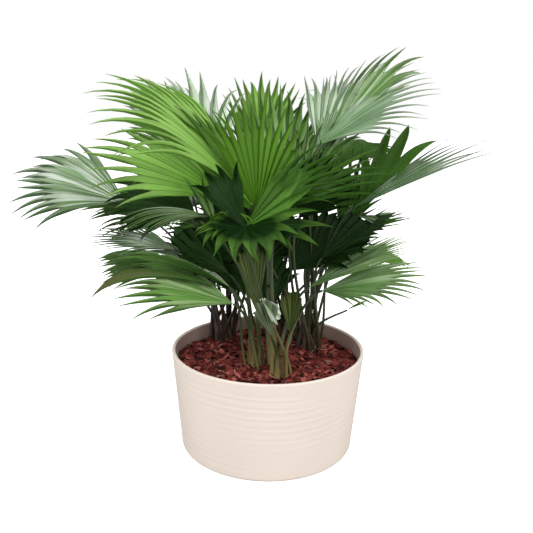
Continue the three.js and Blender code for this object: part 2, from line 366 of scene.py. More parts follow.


# %% [markdown]
# ## Tones of the leaves
# Young leaves are bright. The dark tone is partly older leaves and partly painted shade, for
# the leaves deep in the crown. The cup tone is painted near black at the heart, for the shade
# inside the bowl. The pale, streaked and washed tones are painted pale with sheen, the washed
# one nearly white. Each tone is one row of plain colours: the painted shaded and lit half of a
# finger, its tip, which on most tones is painted light through the thin tips and on the olive
# one a real brown, and its streaks of painted sheen; then how glossy it is, how much of it
# carries painted sheen streaks, how many of its fingers end dry, and the slot of the imported
# model that its finish belongs to. Tip stops say how far along a finger the colour of the tip
# starts, is halfway and is reached.

# %% Tones of the leaves
TONE_KEYS = ("shaded", "lit", "tip", "streak", "gloss", "sheen_streaks", "dry", "slot")
TONE_ROWS = {
    "bright": ((0.084, 0.24, 0.015), (0.165, 0.405, 0.04), (0.5, 0.72, 0.26),
               (0.17, 0.33, 0.06), 0.06, 0.5, 0, "bright"),
    "fresh": ((0.028, 0.1, 0.007), (0.06, 0.175, 0.014), (0.14, 0.31, 0.046),
              (0.11, 0.23, 0.05), 0.1, 0.5, 0, "mid"),
    "mid": ((0.03, 0.095, 0.01), (0.076, 0.19, 0.03), (0.17, 0.33, 0.08),
            (0.36, 0.47, 0.25), 0.15, 0.8, 0.12, "mid"),
    # partly painted shade: near black, for old leaves and for leaves deep in the shade of the crown
    "dark": ((0.008, 0.03, 0.004), (0.014, 0.047, 0.007), (0.022, 0.068, 0.012),
             (0.04, 0.09, 0.03), 0.12, 0.5, 0.05, "dark"),
    # painted sheen: a whitened green with many light streaks, for leaves that catch the bright backdrop
    "pale": ((0.028, 0.094, 0.016), (0.08, 0.19, 0.045), (0.38, 0.5, 0.31),
             (0.74, 0.82, 0.7), 0.3, 0.9, 0.4, "pale"),
    "lime": ((0.044, 0.138, 0.005), (0.064, 0.18, 0.008), (0.125, 0.28, 0.03),
             (0.13, 0.27, 0.04), 0.06, 0.5, 0, "bright"),
    # painted sheen: light streaks over most of a lighter green
    "streaked": ((0.08, 0.21, 0.032), (0.21, 0.39, 0.095), (0.35, 0.52, 0.21),
                 (0.76, 0.82, 0.7), 0.3, 0.9, 0.3, "pale"),
    "sunny": ((0.04, 0.125, 0.012), (0.082, 0.215, 0.028), (0.2, 0.37, 0.1),
              (0.34, 0.47, 0.22), 0.15, 0.8, 0.1, "mid"),
    # painted sheen: washed nearly white, most of all towards the tips
    "washed": ((0.06, 0.19, 0.03), (0.37, 0.54, 0.26), (0.78, 0.85, 0.74),
               (0.85, 0.9, 0.84), 0.3, 0.9, 0.3, "pale"),
    "olive": ((0.032, 0.09, 0.012), (0.075, 0.17, 0.032), (0.21, 0.165, 0.07),
              (0.23, 0.25, 0.12), 0.15, 0.5, 0, "mid"),
    # painted shade: near black at the heart for the shade inside the bowl, lighter at the tips
    "cup": ((0.004, 0.018, 0.002), (0.007, 0.028, 0.004), (0.12, 0.27, 0.036),
            (0.014, 0.05, 0.008), 0.05, 0.4, 0, "mid"),
    "sheen": ((0.036, 0.058, 0.016), (0.082, 0.112, 0.04), (0.07, 0.1, 0.04),
              (0.42, 0.48, 0.42), 0.5, 0.25, 0, "pale"),
    "sheath": ((0.05, 0.08, 0.014), (0.095, 0.13, 0.03), (0.042, 0.072, 0.012),
               (0.2, 0.24, 0.1), 0.15, 0.6, 0, "mid"),
}
PLAIN_TIP_STOPS = (0.15, 0.575, 1.0)
TIP_STOPS = {"cup": (0.50, 0.58, 0.75), "dark": (0.3, 0.65, 1.0), "olive": (0.5, 0.7, 0.95)}
TONES = {tone: dict(zip(TONE_KEYS, row)) for tone, row in TONE_ROWS.items()}
print("tones:", len(TONES))

# %% [markdown]
# ## Leaf finishes
# A palm leaf is waxy on top, with fine veins that run from its heart to its tips, and duller
# underneath. Each leaf's map runs across a finger and along it, so lines drawn across it
# become veins. One half of a folded finger faces the light and the other doesn't, so a leaf
# has a painted lit and a painted shaded finish, and dice give each half a painted brightness
# of its own, as light catches each pleat differently. Along the finger the colour turns to
# that of the tip, mostly painted light. Thin streaks of painted sheen, a pale rib in the
# valley and painted shade on the ridges between fingers come last. Dry tips are grey brown.

# %% Leaf finishes
VEINS = 9
VEIN_WAVER = 0.4
VEIN_DENTS, VEIN_DEPTH = 0.35, 0.0006
PATCH_SCALE = 14
DARK_PATCH, LIGHT_PATCH = 0.75, 1.3
VEIN_LIGHT, RIB_LIGHT, RIB_PLUS = 1.5, 1.9, 0.006
# painted sheen: size, edges and patches of the light streaks
SHEEN_STREAKS_ACROSS, SHEEN_STREAKS_ALONG = 3.6, 1.2
SHEEN_STREAK_EDGE = (0.48, 0.58)
SHEEN_PATCH_SCALE = 7
SHEEN_PATCH_EDGE = (0.38, 0.54)
FEWEST_SHEEN_STREAKS = 0.3
DARKEST_HALF = 0.66
RIDGE_SHADE = 0.78
TOP_ROUGHNESS, UNDER_ROUGHNESS, DRY_ROUGHNESS = 0.36, 0.6, 0.7
UNDER_GLOSS, DRY_GLOSS = 0.15, 0.2
DULL_SHEEN_STREAKS = 0.1
SHADED_TIP_SHARE, SHADED_SHEEN_SHARE = 0.55, 0.4
UNDER_SHARE, UNDER_TIP_SHARE = 0.9, 0.2


def vein_lines(tree, place):
    veins = node(tree, "ShaderNodeTexWave", wave_type="BANDS", bands_direction="X")
    veins.inputs["Scale"].default_value = VEINS / 2
    veins.inputs["Distortion"].default_value = VEIN_WAVER
    veins.inputs["Detail"].default_value = 1.0
    tree.links.new(place, veins.inputs["Vector"])
    return veins.outputs["Fac"]


def sheen_streaks_of(tree, place, spots, share):
    """Long thin streaks of painted sheen that run along the fingers and come and go over the blade."""
    stretched = node(tree, "ShaderNodeVectorMath", operation="MULTIPLY")
    stretched.inputs[1].default_value = (SHEEN_STREAKS_ACROSS, SHEEN_STREAKS_ALONG, 1)
    tree.links.new(place, stretched.inputs[0])
    sheen_streaks = noise(tree, stretched.outputs["Vector"], 1.0, noise_dimensions="2D")
    plain, streaked = SHEEN_STREAK_EDGE
    sharp = ramp_of(tree, sheen_streaks.outputs["Fac"], (plain, 0.0), (streaked, 1.0))
    few, many = SHEEN_PATCH_EDGE
    clusters = noise(tree, spots, SHEEN_PATCH_SCALE).outputs["Fac"]
    here = ramp_of(tree, clusters, (few, FEWEST_SHEEN_STREAKS * share), (many, share))
    return maths(tree, "MULTIPLY", sharp, here)


def half_levels(tree, across):
    """A painted brightness for each half of each finger, thrown as with dice, as light catches each pleat
    differently.
    """
    half_number = maths(tree, "FLOOR", maths(tree, "MULTIPLY", across, 2))
    dice = node(tree, "ShaderNodeTexWhiteNoise", noise_dimensions="1D")
    tree.links.new(half_number, dice.inputs["W"])
    return ramp_of(tree, dice.outputs["Value"], (0.0, DARKEST_HALF), (1.0, 1.0))


def leaf_material(name, tone, colour, tip_colour, roughness, gloss, sheen_streak_share):
    material = plain_material(name, colour, roughness)
    tree = material.node_tree
    shader = tree.nodes["Principled BSDF"]
    shader.inputs["Specular IOR Level"].default_value = gloss
    place, across, along = along_map(tree)
    spots = spots_of(tree)
    veins = vein_lines(tree, place)
    patches = noise(tree, spots, PATCH_SCALE)
    darker, lighter = share_of(colour, DARK_PATCH), share_of(colour, LIGHT_PATCH)
    blade = blend(tree, patches.outputs["Fac"], darker, lighter)
    # painted light towards the tips on most tones, for light through the thin tips; the cup stays dark to
    # halfway, painted shade
    start, middle, end = TIP_STOPS.get(tone, PLAIN_TIP_STOPS)
    towards_tip = ramp_of(tree, along, (start, 0.0), (middle, 0.45), (end, 1.0))
    blade = blend(tree, towards_tip, blade, tip_colour)
    faint_veins = ramp_of(tree, veins, (0.3, 0.0), (1.0, 0.5))
    blade = blend(tree, faint_veins, blade, share_of(colour, VEIN_LIGHT))
    # painted sheen: light streaks blended in where the sheen falls
    sheen_streaks = sheen_streaks_of(tree, place, spots, sheen_streak_share)
    blade = blend(tree, sheen_streaks, blade, TONES[tone]["streak"])
    # painted light and shade that change from one half of a finger to the next
    blade = blend(tree, 1.0, blade, half_levels(tree, across), "MULTIPLY")
    in_finger = maths(tree, "FRACT", across)
    midrib = ramp_of(tree, in_finger, (0.44, 0.0), (0.5, 0.75), (0.56, 0.0))
    blade = blend(tree, midrib, blade, share_of(colour, RIB_LIGHT, RIB_PLUS))
    # painted shade: darker towards each finger's edges, where it folds into its neighbour
    ridge_stops = (0.0, RIDGE_SHADE), (0.10, 1.0), (0.90, 1.0), (1.0, RIDGE_SHADE)
    blade = blend(tree, 1.0, blade, ramp_of(tree, in_finger, *ridge_stops), "MULTIPLY")
    tree.links.new(blade, shader.inputs["Base Color"])
    dents(tree, veins, VEIN_DENTS, VEIN_DEPTH)
    return material


def top_pair(tone, look):
    shaded_tip = share_of(look["tip"], SHADED_TIP_SHARE)
    shaded_sheen_streaks = SHADED_SHEEN_SHARE * look["sheen_streaks"]
    return [
        leaf_material(f"leaf_{tone}_shaded", tone, look["shaded"], shaded_tip,
                      TOP_ROUGHNESS, look["gloss"], shaded_sheen_streaks),
        leaf_material(f"leaf_{tone}_lit", tone, look["lit"], look["tip"],
                      TOP_ROUGHNESS, look["gloss"], look["sheen_streaks"]),
    ]


def under_finish(tone, look):
    """The dull underside is painted from the shaded half, a little darker, and goes only part of the way to
    the painted light on the tips of the top.
    """
    tip = tuple((1 - UNDER_TIP_SHARE) * a + UNDER_TIP_SHARE * b
                for a, b in zip(look["lit"], look["tip"]))
    return leaf_material(f"leaf_{tone}_under", tone, share_of(look["shaded"], UNDER_SHARE), tip,
                         UNDER_ROUGHNESS, UNDER_GLOSS, DULL_SHEEN_STREAKS)


leaf_tops = {tone: top_pair(tone, look) for tone, look in TONES.items()}
leaf_under = {tone: under_finish(tone, look) for tone, look in TONES.items()}
dry_tip = leaf_material("dry_tip", "mid", (0.24, 0.19, 0.11), (0.36, 0.33, 0.27),
                        DRY_ROUGHNESS, DRY_GLOSS, DULL_SHEEN_STREAKS)
print("leaf finishes:", 3 * len(TONES) + 1)

# %% [markdown]
# ## Where the leaves are
# Each row is one leaf: the stem it grows from, its tone, its heart in millimetres, the turn,
# lift and roll of its plane in degrees, its reach, half the angle of its fan, its droop and
# cup, the number of its fingers, where they part, and how much shorter its edges are. The
# first 26 rows are the leaves of the plain model. The rest fill the crown as a real one is
# filled: most have a stalk of their own, and a few are folds or halves of a leaf and share its
# stalk. Habits set single leaves apart: fingers that swing sideways (flare), one side longer
# than the other (skew), a bowl, a rim that folds over, slimmer or broader tips (taper),
# shallow or deep pleats, and how far the fingers close. Two long leaves from one heart stand
# together for a single solid.

# %% Where the leaves are
FROND_KEYS = (
    "stem", "tone", "heart", "turn", "lift", "roll", "reach", "half", "droop", "cup",
    "fingers", "split", "edge",
)
FRONDS = {
    # the leaves of the plain model
    "centre_fan": ("middle", "lime", (-34, 20, 609), 72, 76, 56, 311, 42, 0.1, 5, 14, 0.62, 0),
    "front_cup": ("front", "cup", (-57, -160, 606), -92, -14, 0, 136, 176, 0.1, 4, 14, 0.6, 0.2),
    "far_left": ("left", "pale", (-369, 40, 628), 178, 20, -21, 314, 47, 0.52, 3, 14, 0.64, -0.03),
    "mid_left": ("left", "pale", (-246, 40, 508), 166, 10, -6, 275, 36, 0.3, 3, 15, 0.45, 0.22),
    "left_droop": ("middle", "streaked", (-146, -14, 608), 209, 9, -11, 220, 24, 0.87, 3, 14, 0.38, 0.04),
    "low_left": ("middle", "sunny", (-98, -40, 434), 170, 21, 23, 283, 38, 0.57, 3, 13, 0.45, -0.05),
    "lowest_left": ("middle", "sunny", (-87, -90, 405), 180, 17, -14, 300, 40, 0.45, 3, 10, 0.6, 0.15),
    "left_behind": ("left", "washed", (-218, 145, 668), 110, 38, 0, 250, 36, 0.4, 3, 13, 0.65, 0.2),
    "back_left": ("left", "washed", (-185, 230, 749), 139, 48, 0, 310, 47, 0.4, 3, 16, 0.65, 0.2),
    "back_centre": ("back", "bright", (-30, 310, 725), 82, 75, 4, 264, 36, 0.15, 3, 12, 0.66, 0.1),
    "upper_right": ("right", "washed", (129, 90, 782), 30, 46, 15, 385, 49, 0.58, 3, 26, 0.58, 0.37),
    "right_fan": ("right", "fresh", (249, 170, 596), 18, 66, 36, 285, 27, 0, 3, 4, 0.58, 0.16),
    "far_right": ("right", "pale", (221, 140, 608), 2, 32, 59, 395, 8, 0.15, 3, 8, 0.6, 0.01),
    "right_mid": ("front", "fresh", (42, -30, 635), 0, 35, 31, 289, 32, 0.45, 3, 7, 0.42, 0.1),
    "dark_right": ("right", "dark", (140, 36, 478), 0, 46, 0, 228, 33, 0.5, 3, 12, 0.82, 0.2),
    "pale_right": ("front", "streaked", (101, -10, 427), 8, 27, 0, 322, 29, 0.17, 3, 19, 0.56, 0.2),
    "lowest_right": ("front", "streaked", (134, -30, 425), -22, 15, 18, 280, 39, 0.28, 3, 15, 0.58, 0.37),
    "right_sprout": ("right", "bright", (210, 60, 347), 0, 30, 0, 66, 14, 0.2, 0, 3, 0.6, 0.2),
    "young_fan": ("middle", "sheath", (-29, -75, 378), 117, 73, -4, 182, 18, 0, 0, 9, 0.85, 0.09),
    "folded_leaf": ("front", "sheen", (7, -150, 348), 200, 74, -76, 99, 28, 0, 10, 5, 0.9, 0.16),
    "wedge_leaf": ("front", "sheath", (58, -66, 316), 191, 88, -100, 130, 17, 0, 10, 4, 0.92, 0.07),
    "rear_left": ("left", "fresh", (-260, 330, 560), 135, 15, 0, 350, 75, 0.5, 3, 18, 0.6, 0.2),
    "rear_low_left": ("left", "mid", (-230, 240, 400), 150, 5, 0, 300, 65, 0.5, 3, 16, 0.6, 0.2),
    "rear_centre": ("back", "mid", (-20, 350, 640), 105, 20, 0, 380, 70, 0.5, 3, 18, 0.6, 0.2),
    "rear_right": ("back", "fresh", (160, 340, 690), 76, 24, 0, 340, 56, 0.5, 3, 16, 0.6, 0.2),
    "rear_low_right": ("back", "bright", (190, 260, 430), 58, 5, 0, 300, 60, 0.5, 3, 16, 0.6, 0.2),
    # the leaves that fill the crown
    "long_fan": ("middle", "bright", (-36, 10, 621), -167, 53, -18, 532, 34, 0.95, 4, 16, 0.62, 0.02),
    "left_under_fan": ("left", "bright", (-107, -60, 661), -171, 26, -42, 363, 30, 0.35, 3, 10, 0.62, 0.2),
    "shade_left": ("left", "dark", (-193, 60, 599), -175, 25, -40, 249, 50, 0.5, 3, 15, 0.7, 0.2),
    "grey_leaf": ("left", "dark", (-93, 20, 397), -176, 53, -59, 240, 20, 0.12, 3, 6, 0.93, 0.3),
    "shade_low_left": ("left", "pale", (-129, 110, 415), 178, 24, -37, 246, 34, 0.4, 3, 12, 0.7, 0.2),
    "shade_right": ("right", "dark", (102, 70, 475), 0, 60, 50, 164, 66, 0.3, 3, 12, 0.8, 0.2),
    "shade_centre": ("back", "dark", (-36, 120, 420), 140, 79, -34, 143, 72, 0.3, 10, 13, 0.7, 0.2),
    "cup_back_left": ("front", "dark", (-57, -150, 607), 178, 62, -83, 180, 24, 0.1, 8, 4, 0.72, 0.04),
    "cup_back_right": ("front", "fresh", (-57, -150, 607), 23, 40, 94, 198, 28, 0.08, 8, 5, 0.62, 0.08),
    "crown_back": ("back", "sunny", (39, 200, 646), 113, 72, -14, 325, 38, 0.2, 4, 12, 0.66, 0.15),
    "crown_back_left": ("left", "washed", (-162, 190, 685), 138, 70, -26, 318, 35, 0.2, 4, 9, 0.68, 0.15),
    "crown_mid_right": ("right", "mid", (66, 60, 628), 20, 60, 40, 262, 46, 0.3, 4, 13, 0.6, 0.2),
    "inner_right": ("right", "dark", (76, 40, 598), 5, 61, 48, 208, 50, 0.3, 4, 13, 0.62, 0.2),
    "low_right_back": ("right", "dark", (116, 120, 462), 0, 40, 38, 215, 40, 0.4, 3, 13, 0.6, 0.2),
    "right_behind": ("right", "fresh", (197, 200, 531), 22, 64, 44, 250, 34, 0.2, 3, 10, 0.6, 0.2),
    "left_behind_low": ("left", "mid", (-281, 200, 539), 172, 26, -36, 235, 44, 0.5, 3, 13, 0.6, 0.2),
    "side_fan": ("middle", "fresh", (-31, 0, 631), -10, 33, 44, 271, 30, 0.3, 4, 8, 0.5, 0.1),
    "heart_shade": ("back", "dark", (-46, 40, 543), 95, 79, -2, 156, 75, 0.1, 6, 14, 0.75, 0.2),
    "under_cup": ("back", "dark", (-18, 60, 370), 133, 81, -29, 163, 62, 0.1, 6, 12, 0.8, 0.2),
    "dark_right_2": ("right", "dark", (136, 40, 493), -9, 46, 52, 164, 34, 0.3, 3, 7, 0.9, 0.3),
    "upper_right_green": ("right", "streaked", (136, 110, 770), 18, 51, 42, 377, 16, 0.25, 3, 6, 0.66, 0.3),
    "upper_right_back": ("right", "washed", (122, 130, 758), 58, 70, 18, 238, 24, 0.1, 3, 6, 0.66, 0.1),
    "side_left_low": ("left", "mid", (-300, 190, 430), 170, 14, 0, 200, 58, 0.5, 3, 13, 0.6, 0.2),
    "back_left_mid": ("left", "fresh", (-240, 400, 700), 120, 40, 0, 270, 55, 0.5, 3, 13, 0.6, 0.2),
    "back_mid": ("back", "fresh", (90, 330, 560), 85, 25, 0, 300, 60, 0.5, 3, 14, 0.6, 0.2),
    "back_right_low": ("back", "bright", (40, 330, 470), 98, 20, 0, 260, 55, 0.5, 3, 13, 0.6, 0.2),
    "back_left_low": ("back", "fresh", (-120, 300, 470), 120, 22, 0, 260, 55, 0.5, 3, 13, 0.6, 0.2),
    "cup_back_edge": ("front", "mid", (-128, -100, 600), 176, 65, -68, 152, 15, 0.1, 8, 2, 0.5, 0.05),
    "arch_leaf": ("middle", "olive", (-99, -60, 432), 180, 16, -50, 361, 3.6, 0.95, 2, 1, 0.75, 0),
    "leaf_tips": ("right", "fresh", (186, 90, 537), 2, 24, 22, 220, 17, 0.2, 3, 6, 0.6, 0.2),
    "mid_fan": ("middle", "bright", (-39, 14, 613), 178, 60, -95, 360, 14, 0.57, 4, 9, 0.66, -0.03),
    "heart_fan": ("middle", "bright", (-36, 0, 616), 173, 45, -95, 439, 18, 0.84, 4, 9, 0.6, 0.17),
    "small_fold": ("right", "pale", (224, 60, 602), -29, -3, 53, 78, 14, 0.6, 4, 2, 0.7, 0),
    "cup_right": ("front", "cup", (-20, -160, 611), -2, -8, 45, 148, 30, 0.5, 2, 3, 0.5, 0.14),
    "cup_left": ("front", "cup", (-92, -155, 611), 223, 3, -14, 89, 31, 0.5, 2, 3, 0.5, -0.05),
    "cup_fold_left": ("front", "lime", (-94, -190, 650), 118, -10, -13, 93, 24, 0.95, 0, 2, 0.4, 0),
    "cup_fold_right": ("front", "lime", (-67, -190, 648), -48, -12, -10, 49, 29, 0.88, 0, 2, 0.4, 0),
    "fill_fan": ("middle", "lime", (-37, 24, 611), 177, 64, -58, 326, 14, 0.28, 4, 8, 0.66, -0.03),
    "dome_leaf": ("back", "dark", (20, -60, 405), 253, 107, -24, 67, 35, 1.14, 6, 4, 0.8, 0),
    "core_shade": ("back", "dark", (-8, 90, 470), 117, 49, -1, 164, 81, 0.24, 4, 14, 0.75, 0.16),
    "left_core": ("left", "dark", (-75, 60, 440), 196, 41, -64, 182, 45, 0.18, 4, 12, 0.7, 0.05),
    "right_core": ("right", "dark", (60, 70, 450), 13, 50, 48, 183, 46, 0.19, 4, 12, 0.7, 0.2),
    "gap_left": ("left", "dark", (-68, 0, 560), 180, 39, -42, 147, 34, 0.18, 4, 9, 0.65, 0.01),
    "gap_right": ("right", "dark", (-2, 10, 560), -7, 53, 52, 113, 39, 0.19, 4, 9, 0.65, 0.05),
    "streaked_left": ("middle", "dark", (-96, -60, 470), 219, 37, -25, 177, 33, 0.63, 4, 10, 0.4, -0.03),
    "low_spray": ("middle", "streaked", (-98, -60, 440), 155, 25, 22, 251, 34, 0.83, 4, 9, 0.3, -0.07),
    "sheen_fold": ("front", "washed", (-18, -152, 441), 6, -52, 31, 79, 33, 0.38, 8, 4, 0.9, 0.25),
    "right_threads": ("right", "pale", (245, 110, 577), -7, 18, 85, 145, 10, 0.3, 3, 8, 0.5, 0.07),
}
LEAF_HABITS = {
    "front_cup": dict(bowl=9, rim_fold=1.1, skew=-0.12, pleat=0.1, finger_pleat=0.3, end_split=0.7,
                      taper=1.3),
    "cup_right": dict(skew=-0.4, pleat=0.15, finger_pleat=0.35, taper=1.3),
    "cup_left": dict(skew=0.05, pleat=0.15, finger_pleat=0.35, taper=1.3),
    "cup_fold_left": dict(pleat=0.15, finger_pleat=0.35, taper=1.4),
    "cup_fold_right": dict(pleat=0.15, finger_pleat=0.35, taper=1.4),
    "cup_back_left": dict(pleat=0.3, taper=1.4),
    "cup_back_right": dict(flare=0.02, pleat=0.35, taper=1.4),
    "right_behind": dict(skew=-0.3),
    "gap_left": dict(flare=-0.08, skew=-0.07),
    "fill_fan": dict(skew=-0.17, pleat=0.3, taper=1.1),
    "mid_fan": dict(flare=0.13, skew=-0.27, pleat=0.3, taper=1.2),
    "heart_fan": dict(flare=0.09, pleat=0.3, taper=1),
    "small_fold": dict(taper=1.5),
    "long_fan": dict(flare=0.25, pleat=0.3, taper=0.9),
    "centre_fan": dict(flare=0.3, pleat=0.14, taper=1.6, finger_pleat=0.4),
    "back_centre": dict(taper=1.5),
    "right_threads": dict(skew=-0.1, taper=0.8, closing=0.5),
    "right_fan": dict(skew=0.24, taper=2.2, pleat=0.2, finger_pleat=0.3, closing=0.1),
    "far_left": dict(flare=0.08, skew=0.17, taper=1.1, closing=0.3),
    "mid_left": dict(skew=0.26, taper=0.7, closing=0.45),
    "low_left": dict(flare=0.11, skew=-0.13, taper=0.9, closing=0.4),
    "lowest_left": dict(taper=0.9),
    "left_droop": dict(skew=0.18, taper=0.8, closing=0.45),
    "upper_right": dict(flare=0.28, skew=-0.1, taper=0.55),
    "far_right": dict(skew=0.11, taper=1, closing=0.1),
    "pale_right": dict(flare=-0.03, skew=-0.16, taper=0.7, closing=0.4),
    "lowest_right": dict(flare=-0.03, skew=-0.19, taper=0.9),
    "leaf_tips": dict(taper=0.5),
    "arch_leaf": dict(taper=1.6, pleat=0.3, finger_pleat=0.4, closing=0.05, end_split=0.75),
    "folded_leaf": dict(flare=-0.03, skew=-0.06, pleat=0.03, finger_pleat=0.05, closing=0),
    "sheen_fold": dict(flare=0.1, skew=-0.07, pleat=0.03, finger_pleat=0.05, closing=0),
    "dome_leaf": dict(skew=0.14, flare=-0.21, pleat=0.15),
    "core_shade": dict(flare=0.16, skew=-0.19),
}
FIRST_EXTRA = "long_fan"
STANDS_WITH = {"long_fan": "centre_fan"}
PARTS_OF_A_LEAF = {
    "mid_fan", "heart_fan", "fill_fan", "cup_right", "cup_left", "cup_fold_left", "cup_fold_right",
    "cup_back_left", "cup_back_right", "sheen_fold", "small_fold",
}
fronds = {name: dict(zip(FROND_KEYS, row), name=name) for name, row in FRONDS.items()}
for name, habit in LEAF_HABITS.items():
    fronds[name].update(habit)
extra_names = list(FRONDS)[list(FRONDS).index(FIRST_EXTRA):]
print("leaves:", len(fronds), "fingers:", sum(f["fingers"] for f in fronds.values()))

# %% [markdown]
# ## The rule that shapes a leaf
# A fan leaf is a bundle of rays that leave one point, the heart, where the stalk meets it. A
# ray sets out within the leaf's plane, is lifted by the cup or the bowl, and bends down more
# and more under its own weight. Flare swings it sideways on the way, and a folded rim bends
# it over sharply in one place. The plain solids were shaped by the same rule in its simplest
# form, so most finished leaves stay near them. Here it works on many points at once.

# %% The rule that shapes a leaf
RAY_STEPS = 20
RIM_MIDDLE = 0.55
RIM_WIDTH = 0.2


def turned_about(vectors, axis, angle):
    cosine, sine = np.cos(angle)[..., None], np.sin(angle)[..., None]
    along = np.sum(vectors * axis, axis=-1, keepdims=True) * axis
    return vectors * cosine + np.cross(axis, vectors) * sine + along * (1 - cosine)


def frond_axes(frond):
    turn, lift = math.radians(frond["turn"]), math.radians(frond["lift"])
    flat = math.cos(lift)
    forward = np.array([flat * math.cos(turn), flat * math.sin(turn), math.sin(lift)])
    side = unit(np.cross(forward, UP))
    face = np.cross(side, forward)
    roll = np.array(math.radians(frond["roll"]))
    return forward, turned_about(side, forward, roll), turned_about(face, forward, roll)


def ray_points(frond, angles, shares):
    """Where rays at these angles are after these shares of their length, and how they lie."""
    forward, side, face = frond_axes(frond)
    spread = angles / math.radians(frond["half"])
    length = frond["reach"] * (1 - frond["edge"] * spread**2 + frond.get("skew", 0) * spread)
    cosine, sine = np.cos(angles)[..., None], np.sin(angles)[..., None]
    across = -sine * forward + cosine * side
    bowl = math.tan(math.radians(frond.get("bowl", 0)))
    cup = np.tan(math.radians(frond["cup"]) * spread**2) + bowl
    heading = unit(cosine * forward + sine * side + cup[..., None] * face)
    points = np.zeros_like(heading) + np.array(frond["heart"], dtype=float)
    rim_fold = frond.get("rim_fold", 0) * np.clip(1 - spread**2, 0, 1) ** 3 / RIM_WIDTH
    step = 1 / RAY_STEPS
    heading_there = heading
    flare = frond.get("flare", 0) * angles[..., None]
    for i in range(RAY_STEPS):
        travelled = (i + 0.5) * step
        at_rim = abs(travelled * length / frond["reach"] - RIM_MIDDLE) < RIM_WIDTH / 2
        pull = 2 * frond["droop"] * travelled + rim_fold * at_rim
        heading = unit(heading - (pull * step)[..., None] * UP + flare * step * across)
        part = np.clip(shares - i * step, 0, step)
        points = points + heading * (length * part)[..., None]
        heading_there = np.where(part[..., None] > 0, heading, heading_there)
    return points, heading_there, unit(np.cross(across, heading_there))


print("steps along a ray:", RAY_STEPS)

# %% [markdown]
# ## Fingers of a leaf
# Real leaves are folded like a paper fan. Every finger has a valley along its middle and a
# ridge on each side, and past the split it narrows to a slim tip of its own. Each finger is
# five points wide, and rows of them run from the heart to the tip. Chance changes how deep
# each split goes, how long each finger is and how far it sways, sags and twists.

# %% Fingers of a leaf
PLEAT = 0.42
FINGER_PLEAT = 0.75
FINGER_CLOSING = 0.25
PARTED_BY = 1 / 3
TAPER = 1.05
ACROSS = np.array([-1.0, -0.5, 0.0, 0.5, 1.0])
ROWS = np.array([
    0.05, 0.12, 0.20, 0.28, 0.35, 0.41, 0.47, 0.53, 0.59, 0.65, 0.71, 0.77, 0.83, 0.89, 0.95,
])
SPLIT_CHANCE = 0.045
EDGE_SPLITS_EARLIER = 0.10
SHORTEST_FINGER = 0.88
SWAY = 0.6
SAG = 0.025
TWIST = 0.35


def split_rows(frond, rng):
    """The last row that each gap between fingers is still closed at, outer edges included."""
    gaps = frond["fingers"] + 1
    spread = np.linspace(-1, 1, gaps)
    end_split = frond.get("end_split", frond["split"] - EDGE_SPLITS_EARLIER)
    depth = frond["split"] + (end_split - frond["split"]) * spread**2
    depth = depth + rng.uniform(-SPLIT_CHANCE, SPLIT_CHANCE, gaps)
    return np.array([int(np.argmin(abs(ROWS - share))) for share in depth])


def finger_widths(splits, taper):
    """Each edge's share of a full finger half, for every row: 1 up to its split, then less."""
    closed = ROWS[splits]
    past = np.clip((ROWS[:, None] - closed) / (1 - closed), 0, 1)
    edge = np.where(past > 0, closed / ROWS[:, None] * (1 - past**taper), 1.0)
    left, right = edge[:, :-1, None], edge[:, 1:, None]
    return np.where(ACROSS < 0, left, right), np.maximum(past[:, :-1], past[:, 1:])


def leaf_points(frond, rng):
    """Points and face directions of all fingers, row by row, and the splits between them."""
    count = frond["fingers"]
    pitch = math.radians(frond["half"]) / count
    splits = split_rows(frond, rng)
    widths, past = finger_widths(splits, frond.get("taper", TAPER))
    middles = -math.radians(frond["half"]) + pitch * (2 * np.arange(count) + 1)
    shortness = rng.uniform(SHORTEST_FINGER, 1.0, count)
    sway = rng.normal(0, SWAY, count)
    sag = rng.uniform(0, 2 * SAG, count)
    twist = rng.normal(0, TWIST, count)

    rows = ROWS[:, None] * np.ones(count)
    rows = np.vstack([rows, np.ones(count)])
    past = np.vstack([past, np.ones(count)])
    widths = np.concatenate([widths, np.zeros((1, count, len(ACROSS)))])
    shares = rows * (1 - (1 - shortness) * past)
    swayed = middles + sway * pitch * past**2
    parted = np.clip(past / PARTED_BY, 0, 1)[..., None]
    closing = 1 - frond.get("closing", FINGER_CLOSING) * parted
    angles = swayed[..., None] + pitch * ACROSS * widths * closing
    shares = np.broadcast_to(shares[..., None], angles.shape)
    points, heading, face = ray_points(frond, angles, shares)
    width = frond["reach"] * (rows * pitch)[..., None] * widths
    pleat, finger_pleat = frond.get("pleat", PLEAT), frond.get("finger_pleat", FINGER_PLEAT)
    pleat = pleat + (finger_pleat - pleat) * parted
    fold = (2 * abs(ACROSS) - 1) * pleat * width
    points = points + face * fold[..., None]
    middle = points[:, :, 2:3]
    spun = np.broadcast_to((twist * past**2)[..., None], angles.shape)
    axis = np.broadcast_to(heading[:, :, 2:3], points.shape)
    points = middle + turned_about(points - middle, axis, spun)
    face = turned_about(face, axis, spun)
    points = points - (frond["reach"] * sag * past**2)[..., None, None] * UP
    return points, face, splits


print("rows in a finger:", len(ROWS), "points across it:", len(ACROSS))

# %% [markdown]
# ## Skin of a leaf
# A leaf is a closed thin plate: a skin on top, the same skin underneath with its faces turned
# round, and a wall along every open edge. Neighbouring fingers share their ridge up to the
# split. Each face gets its finish and its place on the leaf's map as it is made, because its
# finger and row are known here: shaded or lit by its side of the valley, and dry near the end
# of some fingers.

# %% Skin of a leaf
SHADED, LIT, UNDER, DRY = range(4)
MAP_INSET = 0.01


